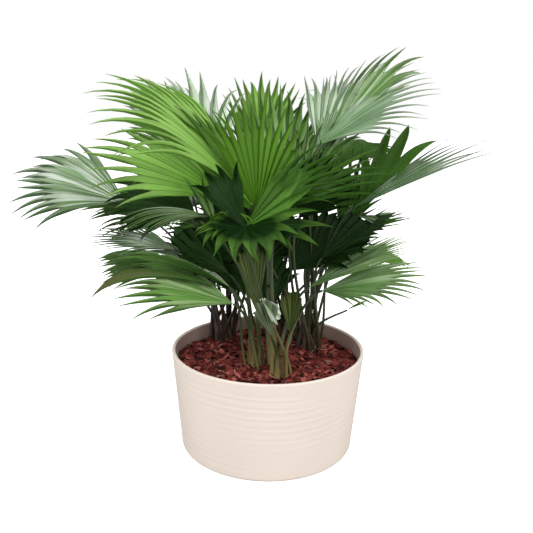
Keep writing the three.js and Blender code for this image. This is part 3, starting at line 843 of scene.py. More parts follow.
def leaf_faces(count, splits, dry, first):
    """Corner numbers, finish and map of every face; top points come first, then under ones."""
    rows, wide = len(ROWS), len(ACROSS)
    number = np.arange(rows * count * wide).reshape(rows, count, wide)
    for gap in range(1, count):
        shared = splits[gap] + 1
        number[:shared, gap - 1, -1] = number[:shared, gap, 0]
    tips = rows * count * wide + np.arange(count)
    heart = rows * count * wide + count
    under = heart + 1
    faces, finishes, maps = [], [], []
    quarter = (1 - 2 * MAP_INSET) / (wide - 1)

    def skin(corners, places, finish):
        faces.append(corners)
        faces.append([under + c for c in reversed(corners)])
        finishes.extend([finish, DRY if finish == DRY else UNDER])
        maps.extend(places)
        maps.extend(reversed(places))

    def wall(start, end, finish=LIT):
        faces.append([start, end, under + end, under + start])
        finishes.append(finish)
        maps.extend([(first, 0)] * 4)

    for i in range(count):
        for j in range(wide - 1):
            half = SHADED if j < wide // 2 else LIT
            u, v = (first + i + MAP_INSET + k * quarter for k in (j, j + 1))
            skin([heart, number[0, i, j + 1], number[0, i, j]],
                 [(first + i + 0.5, 0), (v, ROWS[0]), (u, ROWS[0])], half)
            for r in range(rows - 1):
                a, b = ROWS[r], ROWS[r + 1]
                finish = DRY if dry[i] and r >= rows - dry[i] else half
                skin([number[r, i, j], number[r, i, j + 1], number[r + 1, i, j + 1],
                      number[r + 1, i, j]], [(u, a), (v, a), (v, b), (u, b)], finish)
            skin([number[-1, i, j], number[-1, i, j + 1], tips[i]],
                 [(u, ROWS[-1]), (v, ROWS[-1]), (first + i + 0.5, 1)], DRY if dry[i] else half)
        open_left = splits[i] if i else 0
        for r in range(open_left, rows - 1):
            wall(number[r, i, 0], number[r + 1, i, 0])
        wall(number[-1, i, 0], tips[i])
        wall(tips[i], number[-1, i, -1])
        open_right = splits[i + 1] if i < count - 1 else 0
        for r in range(rows - 2, open_right - 1, -1):
            wall(number[r + 1, i, -1], number[r, i, -1])
        if i == 0:
            wall(heart, number[0, 0, 0])
    wall(number[0, -1, -1], heart, SHADED)
    return faces, finishes, maps


print("finishes on a leaf:", DRY + 1)

# %% [markdown]
# ## Leaves
# Each row of the table becomes one leaf. Its points move half a thickness to both sides, and
# points that no face uses are dropped. Every leaf starts its map at a number of its own, so
# that no two leaves throw the same dice. A leaf of the plain model replaces its solid, and one
# that only fills the crown replaces none.

# %% Leaves
LEAF_THICKNESS = 1.0
TIP_THICKNESS = 0.5
FINGERS_APART = 40
LEAF_SMOOTHING = 28


def nodes_of(frond, part):
    """The plain solids that a piece of this leaf stands for: none for an extra leaf."""
    node_name = f"{STANDS_WITH.get(frond['name'], frond['name'])}_{part}"
    return [node_name] if node_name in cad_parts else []


def make_leaf(frond):
    rng = chance(frond["name"])
    points, face, splits = leaf_points(frond, rng)
    count, tone = frond["fingers"], frond["tone"]
    look = TONES[tone]
    dry = np.where(rng.random(count) < look["dry"], rng.integers(1, 3, count), 0)
    first = FINGERS_APART * list(fronds).index(frond["name"])
    faces, finishes, maps = leaf_faces(count, splits, dry, first)
    thick = np.interp(ROWS, [0, 0.5, 1], [LEAF_THICKNESS, LEAF_THICKNESS, TIP_THICKNESS]) / 2
    grid, grid_face = points[:-1].reshape(-1, 3), face[:-1].reshape(-1, 3)
    half = np.repeat(thick, count * len(ACROSS))[:, None]
    tip, tip_face = points[-1, :, 2], face[-1, :, 2]
    heart, heart_face = np.array([frond["heart"]], dtype=float), frond_axes(frond)[2][None]
    half = np.concatenate([half, np.full((count, 1), TIP_THICKNESS / 2), [[LEAF_THICKNESS / 2]]])
    centre = np.concatenate([grid, tip, heart])
    normal = np.concatenate([grid_face, tip_face, heart_face])
    everything = np.concatenate([centre + half * normal, centre - half * normal])
    used, corners = np.unique(np.concatenate(faces), return_inverse=True)
    sizes = np.cumsum([len(f) for f in faces])[:-1]
    faces = [part.tolist() for part in np.split(corners, sizes)]
    materials = [*leaf_tops[tone], leaf_under[tone], dry_tip]
    leaf = piece_from_arrays(
        f"{frond['name']}_leaf", everything[used], faces, materials, finishes, maps
    )
    smooth_by_angle(leaf, LEAF_SMOOTHING)
    place_on_plant(leaf, f"leaf_{look['slot']}", *nodes_of(frond, "blade"))
    return leaf


leaves = [make_leaf(frond) for frond in fronds.values()]
print("leaf faces:", sum(len(leaf.data.polygons) for leaf in leaves))

# %% [markdown]
# ## Stalk finishes
# Stalks are green and a little glossy higher up, and go yellow, olive or brown towards the
# foot. The map of a stalk runs along it, so one ramp blends the two colours. Fine flecks
# darken it here and there and roughen it a little.

# %% Stalk finishes
STALK_TONES = {
    "green": ((0.250, 0.205, 0.070), (0.040, 0.072, 0.016)),
    "olive": ((0.065, 0.036, 0.020), (0.050, 0.075, 0.022)),
    "brown": ((0.050, 0.025, 0.018), (0.035, 0.036, 0.016)),
}
STALK_TONE_OF_STEM = {
    "front": "green", "middle": "green", "left": "brown", "right": "olive", "back": "brown",
}
STALK_ROUGHNESS = 0.45
FOOT_ENDS, TOP_STARTS = 0.08, 0.55
FLECK_SCALE, FLECK_SHARE = 160, 0.5
FLECK_DENTS, FLECK_DEPTH = 0.3, 0.0008


def stalk_material(name, foot, top):
    material = plain_material(name, top, STALK_ROUGHNESS)
    tree = material.node_tree
    along = along_map(tree)[2]
    bare = ramp_of(tree, along, (FOOT_ENDS, foot), (TOP_STARTS, top))
    flecks = noise(tree, spots_of(tree), FLECK_SCALE, 3)
    mottled = blend(tree, FLECK_SHARE, bare, flecks.outputs["Color"], "MULTIPLY")
    tree.links.new(mottled, tree.nodes["Principled BSDF"].inputs["Base Color"])
    dents(tree, flecks.outputs["Fac"], FLECK_DENTS, FLECK_DEPTH)
    return material


stalk_finishes = {
    name: stalk_material(f"stalk_{name}", *pair) for name, pair in STALK_TONES.items()
}
print("stalk finishes:", len(stalk_finishes))

# %% [markdown]
# ## One straight stalk
# A leaf stalk is round outside and grooved on the side that faces the plant's middle. One
# straight stalk is modelled one unit tall and one unit in radius: a cylinder whose upright
# edges are cut into rings, whose inner side is pressed flat, and whose middle there is pushed
# in as a groove. Every real stalk is then a copy laid along its own curve.

# %% One straight stalk
STALK_RINGS = 40
STALK_SIDES = 12
FLAT_FROM, FLATTENED = 0.4, 0.45
GROOVE_FROM, GROOVE_HALF_WIDTH, GROOVE_DEPTH = 0.1, 0.3, 0.22

straight_stalk = cylinder("straight_stalk", STALK_SIDES, 1, 1, (0, 0, 0.5))
select_edges(straight_stalk, lambda a, b: abs(a.z - b.z) > 0.5)
bpy.ops.mesh.subdivide(number_cuts=STALK_RINGS - 1)
select_points(straight_stalk, lambda p: p.y > FLAT_FROM)
bpy.ops.transform.resize(value=(1, FLATTENED, 1), center_override=(0, 0, 0.5))
select_points(straight_stalk, lambda p: p.y > GROOVE_FROM and abs(p.x) < GROOVE_HALF_WIDTH)
bpy.ops.transform.translate(value=(0, -GROOVE_DEPTH, 0))
bpy.ops.object.mode_set(mode="OBJECT")
bpy.ops.object.shade_smooth()
stalk_shape = get_points(straight_stalk.data)
print("points in a stalk:", len(stalk_shape))

# %% [markdown]
# ## Where the stalks stand
# The stalks of one stem stand in a ring on it. Each keeps as near as it can to the side it
# leaves by, and crowded neighbours are pushed apart. The stalks of the leaves that fill the
# crown stand round the stem in the mulch and lean out. Each is turned on from the last by
# the golden angle, so they never stand in rows. From its foot a stalk rises and swings round
# to meet its leaf at the heart, from behind, or from below where the leaf opens nearly all
# round. Leaves that are folds of another leaf have no stalk.

# %% Where the stalks stand
STEMS = {
    "front": (28, -100), "middle": (-26, -46), "left": (-128, 138), "right": (112, 86),
    "back": (22, 168),
}
MULCH_TOP = 234
STEM_HEIGHT = 40
STEM_RING = 17
OUTER_RING = 31
OUTER_LEAN = 0.25
GOLDEN_TURN = 2.4
OUTER_FOOT_RISE = 2
SEAT_SPACING = 50
SEAT_ROUNDS = 60
STALK_RISE = 0.32
STALK_APPROACH = 0.22
CURVE_POINTS = 200
WIDEST_FROM_BEHIND = 90


def ring_angles(ways):
    angles = list(ways)
    apart = min(math.radians(SEAT_SPACING), 2 * math.pi / len(angles))
    for _ in range(SEAT_ROUNDS):
        for i in range(len(angles)):
            following = (i + 1) % len(angles)
            wrap = 0 if following else 2 * math.pi
            crowd = apart - (angles[following] + wrap - angles[i])
            if len(angles) > 1 and crowd > 0:
                angles[i] -= crowd / 2
                angles[following] += crowd / 2
    return angles


stalked = [frond for frond in fronds.values() if frond["name"] not in PARTS_OF_A_LEAF]


def stalk_feet():
    feet = {}
    for stem, (x, y) in STEMS.items():
        def way(frond):
            return math.atan2(frond["heart"][1] - y, frond["heart"][0] - x)

        here = [f for f in stalked if f["stem"] == stem]
        own = sorted((f for f in here if f["name"] not in extra_names), key=way)
        for frond, angle in zip(own, ring_angles([way(f) for f in own])):
            feet[frond["name"]] = np.array([
                x + STEM_RING * math.cos(angle), y + STEM_RING * math.sin(angle),
                MULCH_TOP + STEM_HEIGHT,
            ])
        for k, frond in enumerate(f for f in here if f["name"] in extra_names):
            angle = k * GOLDEN_TURN
            feet[frond["name"]] = np.array([
                x + OUTER_RING * math.cos(angle), y + OUTER_RING * math.sin(angle),
                MULCH_TOP + OUTER_FOOT_RISE,
            ])
    return feet


def stalk_curve(frond, foot):
    forward, _, face = frond_axes(frond)
    arrive = face if frond["half"] > WIDEST_FROM_BEHIND else forward
    heart = np.array(frond["heart"], dtype=float)
    span = np.linalg.norm(heart - foot)
    lean = OUTER_LEAN * unit((heart - foot) * [1, 1, 0]) if frond["name"] in extra_names else 0
    rise = foot + STALK_RISE * span * (UP + lean)
    corners = [foot, rise, heart - STALK_APPROACH * span * arrive, heart]
    t = np.linspace(0, 1, CURVE_POINTS)[:, None]
    return (
        (1 - t) ** 3 * corners[0] + 3 * (1 - t) ** 2 * t * corners[1]
        + 3 * (1 - t) * t**2 * corners[2] + t**3 * corners[3]
    )


feet = stalk_feet()
print("feet:", len(feet))

# %% [markdown]
# ## Along a stalk
# A stalk runs down past its foot into the mulch, where it widens like the sheath of a real
# leaf base. Its groove faces the plant's middle on the way up and the sky where it leans out,
# so a direction for the groove is worked out at every point of the curve.

# %% Along a stalk
STALK_FOOT_RADIUS = 5.6
STALK_TIP_RADIUS = 3.6
SHEATH_FLARE = 0.6
SHEATH_HEIGHT = 26
STALK_DEPTH = 52


def stalk_frames(frond):
    """Places, directions, groove directions and distances from the foot along a stalk."""
    foot = feet[frond["name"]]
    below = foot - np.linspace(STALK_DEPTH, 4, 6)[:, None] * UP
    line = np.concatenate([below, stalk_curve(frond, foot)])
    steps = np.linalg.norm(np.diff(line, axis=0), axis=1)
    distance = np.concatenate([[0], np.cumsum(steps)])
    way = unit(np.gradient(line, axis=0))
    stem = np.array([*STEMS[frond["stem"]], 0])
    outward = (np.array(frond["heart"], dtype=float) - stem) * [1, 1, 0]
    inner = UP - unit(outward)
    groove = unit(inner - np.sum(inner * way, axis=1, keepdims=True) * way)
    return line, way, groove, distance


def at_distance(values, distance, wanted):
    return np.stack([np.interp(wanted, distance, values[:, k]) for k in range(3)], axis=-1)


def stalk_radius(height, length):
    plain = np.interp(height, [0, length], [STALK_FOOT_RADIUS, STALK_TIP_RADIUS])
    return plain * (1 + SHEATH_FLARE * np.exp(-height / SHEATH_HEIGHT))


lengths = [stalk_frames(frond)[3][-1] for frond in stalked]
print("stalks, mm long:", round(min(lengths)), "to", round(max(lengths)))

# %% [markdown]
# ## Spines
# Short spines stand along both edges of the lower half of a stalk, longer and closer on the
# olive and brown ones. Each is a small four-sided point whose square foot is sunk in the stalk.

# %% Spines
SPINE_LENGTH = {"green": 3.5, "olive": 7.5, "brown": 6.0}
SPINE_SPACING = {"green": 26, "olive": 11, "brown": 15}
SPINE_SHIFT = 3
SPINES_FROM, SPINES_TO = STALK_DEPTH + 30, 0.62
SPINE_FOOT_LENGTH, SPINE_FOOT_WIDTH = 1.1, 0.7
SPINE_SUNK, SPINE_INWARD, SPINE_SPREAD = 0.82, 0.25, 0.45


def spine_points(line, way, groove, distance, tone, rng):
    length = distance[-1]
    heights = np.arange(SPINES_FROM, SPINES_TO * length, SPINE_SPACING[tone])
    points, faces = [], []
    for edge in (-1, 1):
        corners = (0, 1, 2, 3) if edge > 0 else (3, 2, 1, 0)
        for height in heights + rng.uniform(-SPINE_SHIFT, SPINE_SHIFT, len(heights)):
            place = at_distance(line, distance, height)
            along = unit(at_distance(way, distance, height))
            inner = unit(at_distance(groove, distance, height))
            out = unit(edge * np.cross(along, inner) + SPINE_INWARD * inner)
            root = place + SPINE_SUNK * stalk_radius(height, length) * out
            size = SPINE_LENGTH[tone] * rng.uniform(0.6, 1.1) * (1 - 0.6 * height / length)
            tip = root + size * unit(out + SPINE_SPREAD * rng.uniform(-1, 1) * along)
            long, wide = SPINE_FOOT_LENGTH * along, SPINE_FOOT_WIDTH * inner
            start = len(points)
            points += [root - long, root + wide, root + long, root - wide, tip]
            for a, b in zip(corners, corners[1:] + corners[:1]):
                faces.append([start + a, start + b, start + 4])
            faces.append([start + k for k in reversed(corners)])
    return points, faces


print("spine spacing, mm:", SPINE_SPACING)

# %% [markdown]
# ## Stalks
# Every point of the straight stalk is moved to its place on the curve: its height becomes a
# distance along it, and its two sides are measured across the groove. The spines are joined
# on, and the mesh is made from arrays, with a map that runs from foot to heart. The straight
# stalk itself is taken away at the end.

# %% Stalks
STALK_SMOOTHING = 50


def make_stalk(frond):
    rng = chance(frond["name"] + "_stalk")
    line, way, groove, distance = stalk_frames(frond)
    length = distance[-1]
    height = stalk_shape[:, 2] * length
    place = at_distance(line, distance, height)
    along = unit(at_distance(way, distance, height))
    inner = unit(at_distance(groove, distance, height))
    side = np.cross(along, inner)
    radius = stalk_radius(height, length)[:, None]
    points = place - radius * stalk_shape[:, :1] * side + radius * stalk_shape[:, 1:2] * inner
    faces = [list(p.vertices) for p in straight_stalk.data.polygons]
    tone = STALK_TONE_OF_STEM[frond["stem"]]
    spines, spine_faces = spine_points(line, way, groove, distance, tone, rng)
    start = len(points)
    maps = [(0.5 + 0.5 * stalk_shape[k, 0], stalk_shape[k, 2]) for f in faces for k in f]
    maps += [(0.5, 0.0)] * sum(len(f) for f in spine_faces)
    faces += [[start + k for k in f] for f in spine_faces]
    points = np.concatenate([points, np.array(spines).reshape(-1, 3)])
    stalk = piece_from_arrays(
        f"{frond['name']}_leafstalk", points, faces, [stalk_finishes[tone]], None, maps
    )
    smooth_by_angle(stalk, STALK_SMOOTHING)
    place_on_plant(stalk, "stalk", *nodes_of(frond, "stalk"))
    return stalk


stalks = [make_stalk(frond) for frond in stalked]
bpy.data.objects.remove(straight_stalk)
print("stalk faces:", sum(len(stalk.data.polygons) for stalk in stalks))

# %% [markdown]
# ## Pot
# The pot is thrown or cast, with shallow uneven rings round its outside. It starts as a
# cylinder that is widened at the top, inset for the wall and pushed down to make the hollow.
# Its edges are rounded with a bevel, and the outside is cut into many rings, which are then
# moved in and out by less than a millimetre.

# %% Pot
POT_HEIGHT = 264
POT_RIM_RADIUS = 250
POT_FOOT_RADIUS = 226
POT_WALL = 9
POT_FLOOR = 14
POT_SIDES = 180
POT_RINGS = 110
RIB_SPACING = 17
RIB_DEPTH = 0.45
RIM_ROUNDING, FOOT_ROUNDING = 3.6, 8


def inner_radius(height):
    return POT_FOOT_RADIUS + (POT_RIM_RADIUS - POT_FOOT_RADIUS) * height / POT_HEIGHT - POT_WALL


pot_middle = (0, 0, POT_HEIGHT / 2 * MM)
pot = cylinder("ribbed_pot", POT_SIDES, POT_FOOT_RADIUS * MM, POT_HEIGHT * MM, pot_middle)
top_height = (POT_HEIGHT - 1) * MM
select_faces(pot, lambda p: p.normal.z > 0.9 and p.center.z > top_height)
widen = POT_RIM_RADIUS / POT_FOOT_RADIUS
middle_top = (0, 0, POT_HEIGHT * MM)
bpy.ops.transform.resize(value=(widen, widen, 1), center_override=middle_top)
bpy.ops.mesh.inset(thickness=POT_WALL * MM)
hollow = (POT_HEIGHT - POT_FLOOR) * MM
bpy.ops.mesh.extrude_region_move(TRANSFORM_OT_translate={"value": (0, 0, -hollow)})
narrow = inner_radius(POT_FLOOR) / (POT_RIM_RADIUS - POT_WALL)
bpy.ops.transform.resize(value=(narrow, narrow, 1), center_override=(0, 0, POT_FLOOR * MM))


def on_circle(a, b, radius, height):
    return all(
        abs(math.hypot(p.x, p.y) - radius * MM) < 0.5 * MM and abs(p.z - height * MM) < 0.5 * MM
        for p in (a, b)
    )


def on_rim(a, b):
    outside = on_circle(a, b, POT_RIM_RADIUS, POT_HEIGHT)
    return outside or on_circle(a, b, POT_RIM_RADIUS - POT_WALL, POT_HEIGHT)


select_edges(pot, on_rim)
bpy.ops.mesh.bevel(offset=RIM_ROUNDING * MM, segments=5, profile=0.5, affect="EDGES")
select_edges(pot, lambda a, b: on_circle(a, b, POT_FOOT_RADIUS, 0))
bpy.ops.mesh.bevel(offset=FOOT_ROUNDING * MM, segments=5, profile=0.5, affect="EDGES")


def upright_outside(a, b):
    outside = min(math.hypot(a.x, a.y), math.hypot(b.x, b.y)) > POT_FOOT_RADIUS * MM - 1e-4
    return outside and abs(a.z - b.z) > 0.2


select_edges(pot, upright_outside)
bpy.ops.mesh.subdivide(number_cuts=POT_RINGS)
bpy.ops.object.mode_set(mode="OBJECT")
print("pot points:", len(pot.data.vertices))

# %% [markdown]
# ## Rings in the pot's wall
# A ring is nearly level, but its height wanders as it goes round, and it fades in and out, as
# marks of fingers or of a mould do. A sum of three waves with different spacings and phases
# gives that: a wide one, a finer one and a finest one. It dies away at the rim and at the foot
# so that both stay crisp.

# %% Rings in the pot's wall
FINER_RINGS, FINEST_RINGS = 0.61 * RIB_SPACING, 0.37 * RIB_SPACING
FOOT_MARGIN, RIM_MARGIN = 8.5, 4
POT_SMOOTHING = 40

points = get_points(pot.data) / MM
radius = np.hypot(points[:, 0], points[:, 1])
around = np.arctan2(points[:, 1], points[:, 0])
height = points[:, 2]
wall_radius = inner_radius(height) + POT_WALL
outside = abs(radius - wall_radius) < 0.5
outside &= (height > FOOT_MARGIN) & (height < POT_HEIGHT - RIM_MARGIN)
level = height + 2.2 * np.sin(2 * around + 0.7) + 1.2 * np.sin(5 * around + 2.0)
waves = (
    np.sin(2 * math.pi * level / RIB_SPACING + 1.1 * np.sin(3 * around))
    + 0.5 * np.sin(2 * math.pi * level / FINER_RINGS + 2 * np.sin(around + 1))
    + 0.35 * np.sin(2 * math.pi * level / FINEST_RINGS + 4 * around)
)
strength = 0.6 + 0.4 * np.sin(around * 2 + height / 40)
fade = np.clip((height - 10) / 25, 0, 1) * np.clip((POT_HEIGHT - 12 - height) / 20, 0, 1)
shift = np.where(outside, RIB_DEPTH * 0.55 * waves * strength * fade - 0.35 * fade, 0)
points[:, :2] *= (1 + shift / np.maximum(radius, 1))[:, None]
set_points(pot.data, points * MM)
smooth_by_angle(pot, POT_SMOOTHING)
print("deepest ring, mm:", round(float(abs(shift).max()), 2))

# %% [markdown]
# ## Pot finish
# Outside and rim are cream with a soft satin glaze and faint clouds of tone. The inside is
# left bare and is a darker grey brown, partly for the bare clay and partly painted shade
# inside the pot. Two materials share the mesh, chosen face by face.
# One helper makes every clouded finish here, for bark and soil too: it takes a colour, how
# rough it is, the size of its clouds, how far they change the tone, and how deep its dents are.

# %% Pot finish
SMOOTH_GLOSS = 0.5
CLOUD_DENTS = 0.4


def clouded_material(name, colour, roughness, scale, change, depth):
    material = plain_material(name, colour, roughness)
    tree = material.node_tree
    shader = tree.nodes["Principled BSDF"]
    shader.inputs["Specular IOR Level"].default_value = SMOOTH_GLOSS * (1.1 - roughness)
    clouds = noise(tree, spots_of(tree), scale, 5).outputs["Fac"]
    tone = blend(tree, clouds, share_of(colour, 1 - change), share_of(colour, 1 + change))
    tree.links.new(tone, shader.inputs["Base Color"])
    dents(tree, clouds, CLOUD_DENTS, depth)
    return material


OUTSIDE, INSIDE = range(2)
GLAZED_BELOW_RIM = 6
cream_glaze = clouded_material(
    "cream_glaze", (0.80, 0.70, 0.62), roughness=0.45, scale=9, change=0.04, depth=0.0004
)
# partly painted shade: the inside is darker than bare clay alone, for the shade within the wall
bare_and_shaded_inside = clouded_material(
    "bare_and_shaded_inside", (0.40, 0.28, 0.24), roughness=0.8, scale=30, change=0.12, depth=0.0006
)
pot.data.materials.append(cream_glaze)
pot.data.materials.append(bare_and_shaded_inside)
for polygon in pot.data.polygons:
    x, y, z = polygon.center / MM
    hollow = POT_FLOOR - 1 < z < POT_HEIGHT - GLAZED_BELOW_RIM
    hidden = hollow and math.hypot(x, y) < inner_radius(z) + 2
    polygon.material_index = INSIDE if hidden else OUTSIDE
place_on_plant(pot, "pot_glaze", "pot")
print("pot faces:", len(pot.data.polygons))

# %% [markdown]
# ## One chip
# A bark chip is a thin six-sided flake with uneven corners, turned and tipped by chance. A
# straw is the same flake, only long and slim, so one helper makes both from their size. It
# has just eight faces, because there are well over a thousand of them. The mulch is not
# level: a slow and a quick pattern of waves raise and lower it.

# %% One chip
CHIP_SIDES = 6
CHIP_LENGTH = (15, 40)
STRAW_LENGTH = (14, 40)
MULCH_DIP = 7
CHIP_FACES = [[0, 1, 2, 3, 4, 5], [11, 10, 9, 8, 7, 6]]
for k in range(CHIP_SIDES):
    following = (k + 1) % CHIP_SIDES
    CHIP_FACES.append([k, k + CHIP_SIDES, following + CHIP_SIDES, following])


def mulch_height(x, y):
    waves = 3.0 * np.sin(x / 31 + 1) * np.cos(y / 37) + 2.0 * np.sin(x / 13) * np.sin(y / 17 + 2)
    return MULCH_TOP - MULCH_DIP + waves


def chip_size(rng):
    length = rng.uniform(*CHIP_LENGTH)
    return length, length * rng.uniform(0.25, 0.7), rng.uniform(1.4, 3.6)


def straw_size(rng):
    return rng.uniform(*STRAW_LENGTH), rng.uniform(0.9, 1.7), rng.uniform(0.8, 1.2)


def chip_points(rng, place, length, width, thick):
    angles = np.linspace(0, 2 * math.pi, CHIP_SIDES, endpoint=False)
    angles = angles + rng.uniform(-0.3, 0.3, CHIP_SIDES)
    ring = np.stack([np.cos(angles) * length / 2, np.sin(angles) * width / 2], 1)
    ring *= rng.uniform(0.75, 1.1, (CHIP_SIDES, 1))
    top = np.column_stack([0.8 * ring, thick * rng.uniform(0.3, 0.7, CHIP_SIDES)])
    under = np.column_stack([ring, -thick * rng.uniform(0.3, 0.7, CHIP_SIDES)])
    flat = np.concatenate([top, under])
    spin, tip, way = rng.uniform(0, 2 * math.pi), rng.normal(0, 0.5), rng.uniform(0, math.pi)
    turn = (
        Matrix.Rotation(spin, 3, "Z") @ Matrix.Rotation(tip, 3, "X") @ Matrix.Rotation(way, 3, "Z")
    )
    return flat @ np.array(turn).T + place


print("faces of a chip:", len(CHIP_FACES))

# %% [markdown]
# ## Bark mulch
# Red-brown bark chips cover the soil, and a few pale straws lie on them. Both are scattered
# evenly over the disc of the soil, kept inside the pot's wall, and joined into one mesh each.
# The four browns are plain finishes, dealt out chip by chip, the first most often.

# %% Bark mulch
CHIPS = 1700
CHIP_BROWNS = [
    (0.215, 0.042, 0.034), (0.120, 0.022, 0.018), (0.400, 0.115, 0.090), (0.050, 0.011, 0.010),
]
CHIP_ODDS = [0.4, 0.28, 0.14, 0.18]
STRAWS = 50
CHIP_RISE, STRAW_RISE = (-3, 5), (4, 8)
MULCH_REACH = 0.97
OFF_WALL, WALL_GAP = 9, 1.0
CHIP_POINTS = 2 * CHIP_SIDES


def scatter(name, count, size_of, rise, finishes, odds):
    rng = chance(name)
    reach = MULCH_REACH * inner_radius(MULCH_TOP)
    points, faces, picked = [], [], []
    for k in range(count):
        distance, angle = reach * math.sqrt(rng.uniform(0, 1)), rng.uniform(0, 2 * math.pi)
        x, y = distance * math.cos(angle), distance * math.sin(angle)
        inward = min(1.0, (inner_radius(MULCH_TOP) - OFF_WALL) / max(distance, 1))
        x, y = x * inward, y * inward
        place = np.array([x, y, mulch_height(x, y) + rng.uniform(*rise)])
        faces += [[CHIP_POINTS * k + c for c in face] for face in CHIP_FACES]
        picked += [int(rng.choice(len(odds), p=odds))] * len(CHIP_FACES)
        points.append(chip_points(rng, place, *size_of(rng)))
    points = np.concatenate(points)
    radius = np.hypot(points[:, 0], points[:, 1])
    limit = inner_radius(points[:, 2]) - WALL_GAP
    points[:, :2] *= np.minimum(1, limit / radius)[:, None]
    piece = piece_from_arrays(name, points, faces, finishes, picked)
    place_on_plant(piece, "bark_chips", "bark_mulch")
    return piece


browns = [
    clouded_material(f"bark_{k + 1}", c, roughness=0.85, scale=120, change=0.45, depth=0.0012)
    for k, c in enumerate(CHIP_BROWNS)
]
straw_finish = clouded_material(
    "straw", (0.50, 0.36, 0.28), roughness=0.8, scale=90, change=0.3, depth=0.0004
)
chips = scatter("bark_chips", CHIPS, chip_size, CHIP_RISE, browns, CHIP_ODDS)
straws = scatter("straws", STRAWS, straw_size, STRAW_RISE, [straw_finish], [1.0])
print("chip faces:", len(chips.data.polygons), "straw faces:", len(straws.data.polygons))

# %% [markdown]
# ## Bed under the chips
# A disc with many rings, raised and lowered by the same waves as the chips, closes the gaps.
# It is a shallow cylinder whose top is inset again and again, and its rim stays inside the pot.

# %% Bed under the chips
BED_SIDES = 96
BED_RINGS = 22
BED_DEPTH = 24
BED_TOP = MULCH_TOP - 10
BED_INSET = 0.94
BED_SMOOTHING = 60
bed_radius = inner_radius(MULCH_TOP - 30) - 1

bed_middle = (0, 0, (BED_TOP - BED_DEPTH / 2) * MM)
bed = cylinder("mulch_bed", BED_SIDES, bed_radius * MM, BED_DEPTH * MM, bed_middle)
select_faces(bed, lambda p: p.normal.z > 0.9)
for _ in range(BED_RINGS):
    bpy.ops.mesh.inset(thickness=BED_INSET * bed_radius / BED_RINGS * MM)
bpy.ops.object.mode_set(mode="OBJECT")
points = get_points(bed.data) / MM
on_top = points[:, 2] > BED_TOP - 2
points[on_top, 2] = mulch_height(points[on_top, 0], points[on_top, 1]) - 2
set_points(bed.data, points * MM)
bed_finish = clouded_material(
    "dark_bed", (0.035, 0.014, 0.012), roughness=0.95, scale=60, change=0.4, depth=0.003
)
bed.data.materials.append(bed_finish)
smooth_by_angle(bed, BED_SMOOTHING)
place_on_plant(bed, "bark_chips")
print("bed faces:", len(bed.data.polygons))

# %% [markdown]
# ## Short stems
# Each group of stalks grows from a short stem wrapped in brown fibre. A cylinder is tapered,
# cut into rings, and its points are pushed in and out along upright lines to look like the
# frayed edges of old leaf bases. Its top is inset twice and sinks in uneven scallops.

# %% Short stems
STEM_FOOT_RADIUS = 20
STEM_TOP_RADIUS = 13
STEM_SUNK = 12
STEM_SIDES = 48
STEM_RINGS = 9
STEM_INSETS = (4, 6)
stem_finish = clouded_material(
    "stem_fibre", (0.10, 0.062, 0.030), roughness=0.9, scale=90, change=0.5, depth=0.002
)


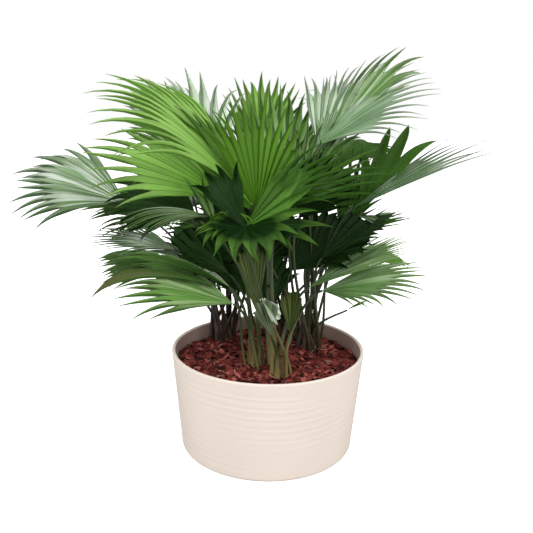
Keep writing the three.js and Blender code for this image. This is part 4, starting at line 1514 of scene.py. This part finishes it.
def make_stem(name, x, y):
    rng = chance(name + "_stem")
    bottom = MULCH_TOP - STEM_SUNK
    tall = STEM_HEIGHT + STEM_SUNK
    middle = (x * MM, y * MM, (bottom + tall / 2) * MM)
    stem = cylinder(
        f"{name}_stem_fibre", STEM_SIDES, STEM_FOOT_RADIUS * MM, tall * MM, middle
    )
    select_edges(stem, lambda a, b: abs(a.z - b.z) > 0.01)
    bpy.ops.mesh.subdivide(number_cuts=STEM_RINGS)
    select_faces(stem, lambda p: p.normal.z > 0.9)
    for inset in STEM_INSETS:
        bpy.ops.mesh.inset(thickness=inset * MM)
    bpy.ops.object.mode_set(mode="OBJECT")
    points = get_points(stem.data) / MM - [x, y, bottom]
    around = np.arctan2(points[:, 1], points[:, 0])
    share = np.clip(points[:, 2] / tall, 0, 1)
    frayed = 1.6 * np.sin(9 * around + rng.uniform(0, 6)) + 1.0 * np.sin(23 * around + 5 * share)
    shrink = 1 - (1 - STEM_TOP_RADIUS / STEM_FOOT_RADIUS) * share + frayed / STEM_FOOT_RADIUS
    points[:, :2] *= shrink[:, None]
    points[:, 2] -= np.where(share > 0.95, 3 + 3 * np.sin(7 * around), 0)
    set_points(stem.data, (points + [x, y, bottom]) * MM)
    stem.data.materials.append(stem_finish)
    smooth_by_angle(stem, STALK_SMOOTHING)
    place_on_plant(stem, "stem_fibre", f"{name}_stem")
    return stem


stems = [make_stem(name, x, y) for name, (x, y) in STEMS.items()]
print("stems:", len(stems))

# %% [markdown]
# ## Loose fibres
# Slim fibres have come loose from the stems and stand up round them, leaning out. Each is a
# tall thin point on a three-sided foot, four faces in all, and one mesh holds all of them.

# %% Loose fibres
FIBRES = 46
FIBRE_LENGTH = (12, 44)
FIBRE_FACES = [[0, 1, 3], [1, 2, 3], [2, 0, 3], [2, 1, 0]]
fibre_finish = clouded_material(
    "loose_fibre", (0.22, 0.135, 0.070), roughness=0.9, scale=90, change=0.4, depth=0.0005
)


def make_fibres():
    rng = chance("fibres")
    points, faces = [], []
    for x, y in STEMS.values():
        for _ in range(FIBRES):
            share, angle = rng.uniform(0.1, 0.95), rng.uniform(0, 2 * math.pi)
            radius = STEM_FOOT_RADIUS + share * (STEM_TOP_RADIUS - STEM_FOOT_RADIUS) - 1
            out = np.array([math.cos(angle), math.sin(angle), 0.0])
            along = np.array([-out[1], out[0], 0.0])
            foot = np.array([x, y, MULCH_TOP + share * STEM_HEIGHT]) + radius * out
            lean = UP + rng.uniform(0.05, 0.5) * out + rng.normal(0, 0.25) * along
            wide = rng.uniform(0.4, 0.9)
            faces += [[len(points) + corner for corner in face] for face in FIBRE_FACES]
            points += [foot + wide * out, foot + wide * along, foot - wide * along,
                       foot + rng.uniform(*FIBRE_LENGTH) * lean]
    fibres = piece_from_arrays("loose_fibres", points, faces, [fibre_finish])
    place_on_plant(fibres, "stem_fibre")
    return fibres


fibres = make_fibres()
print("fibre faces:", len(fibres.data.polygons))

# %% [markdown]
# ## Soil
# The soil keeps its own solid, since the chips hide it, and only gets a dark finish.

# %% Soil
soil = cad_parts["potting_soil"]
soil.data.materials.clear()
soil_finish = clouded_material(
    "dark_soil", (0.035, 0.022, 0.014), roughness=0.95, scale=80, change=0.4, depth=0.002
)
soil.data.materials.append(soil_finish)
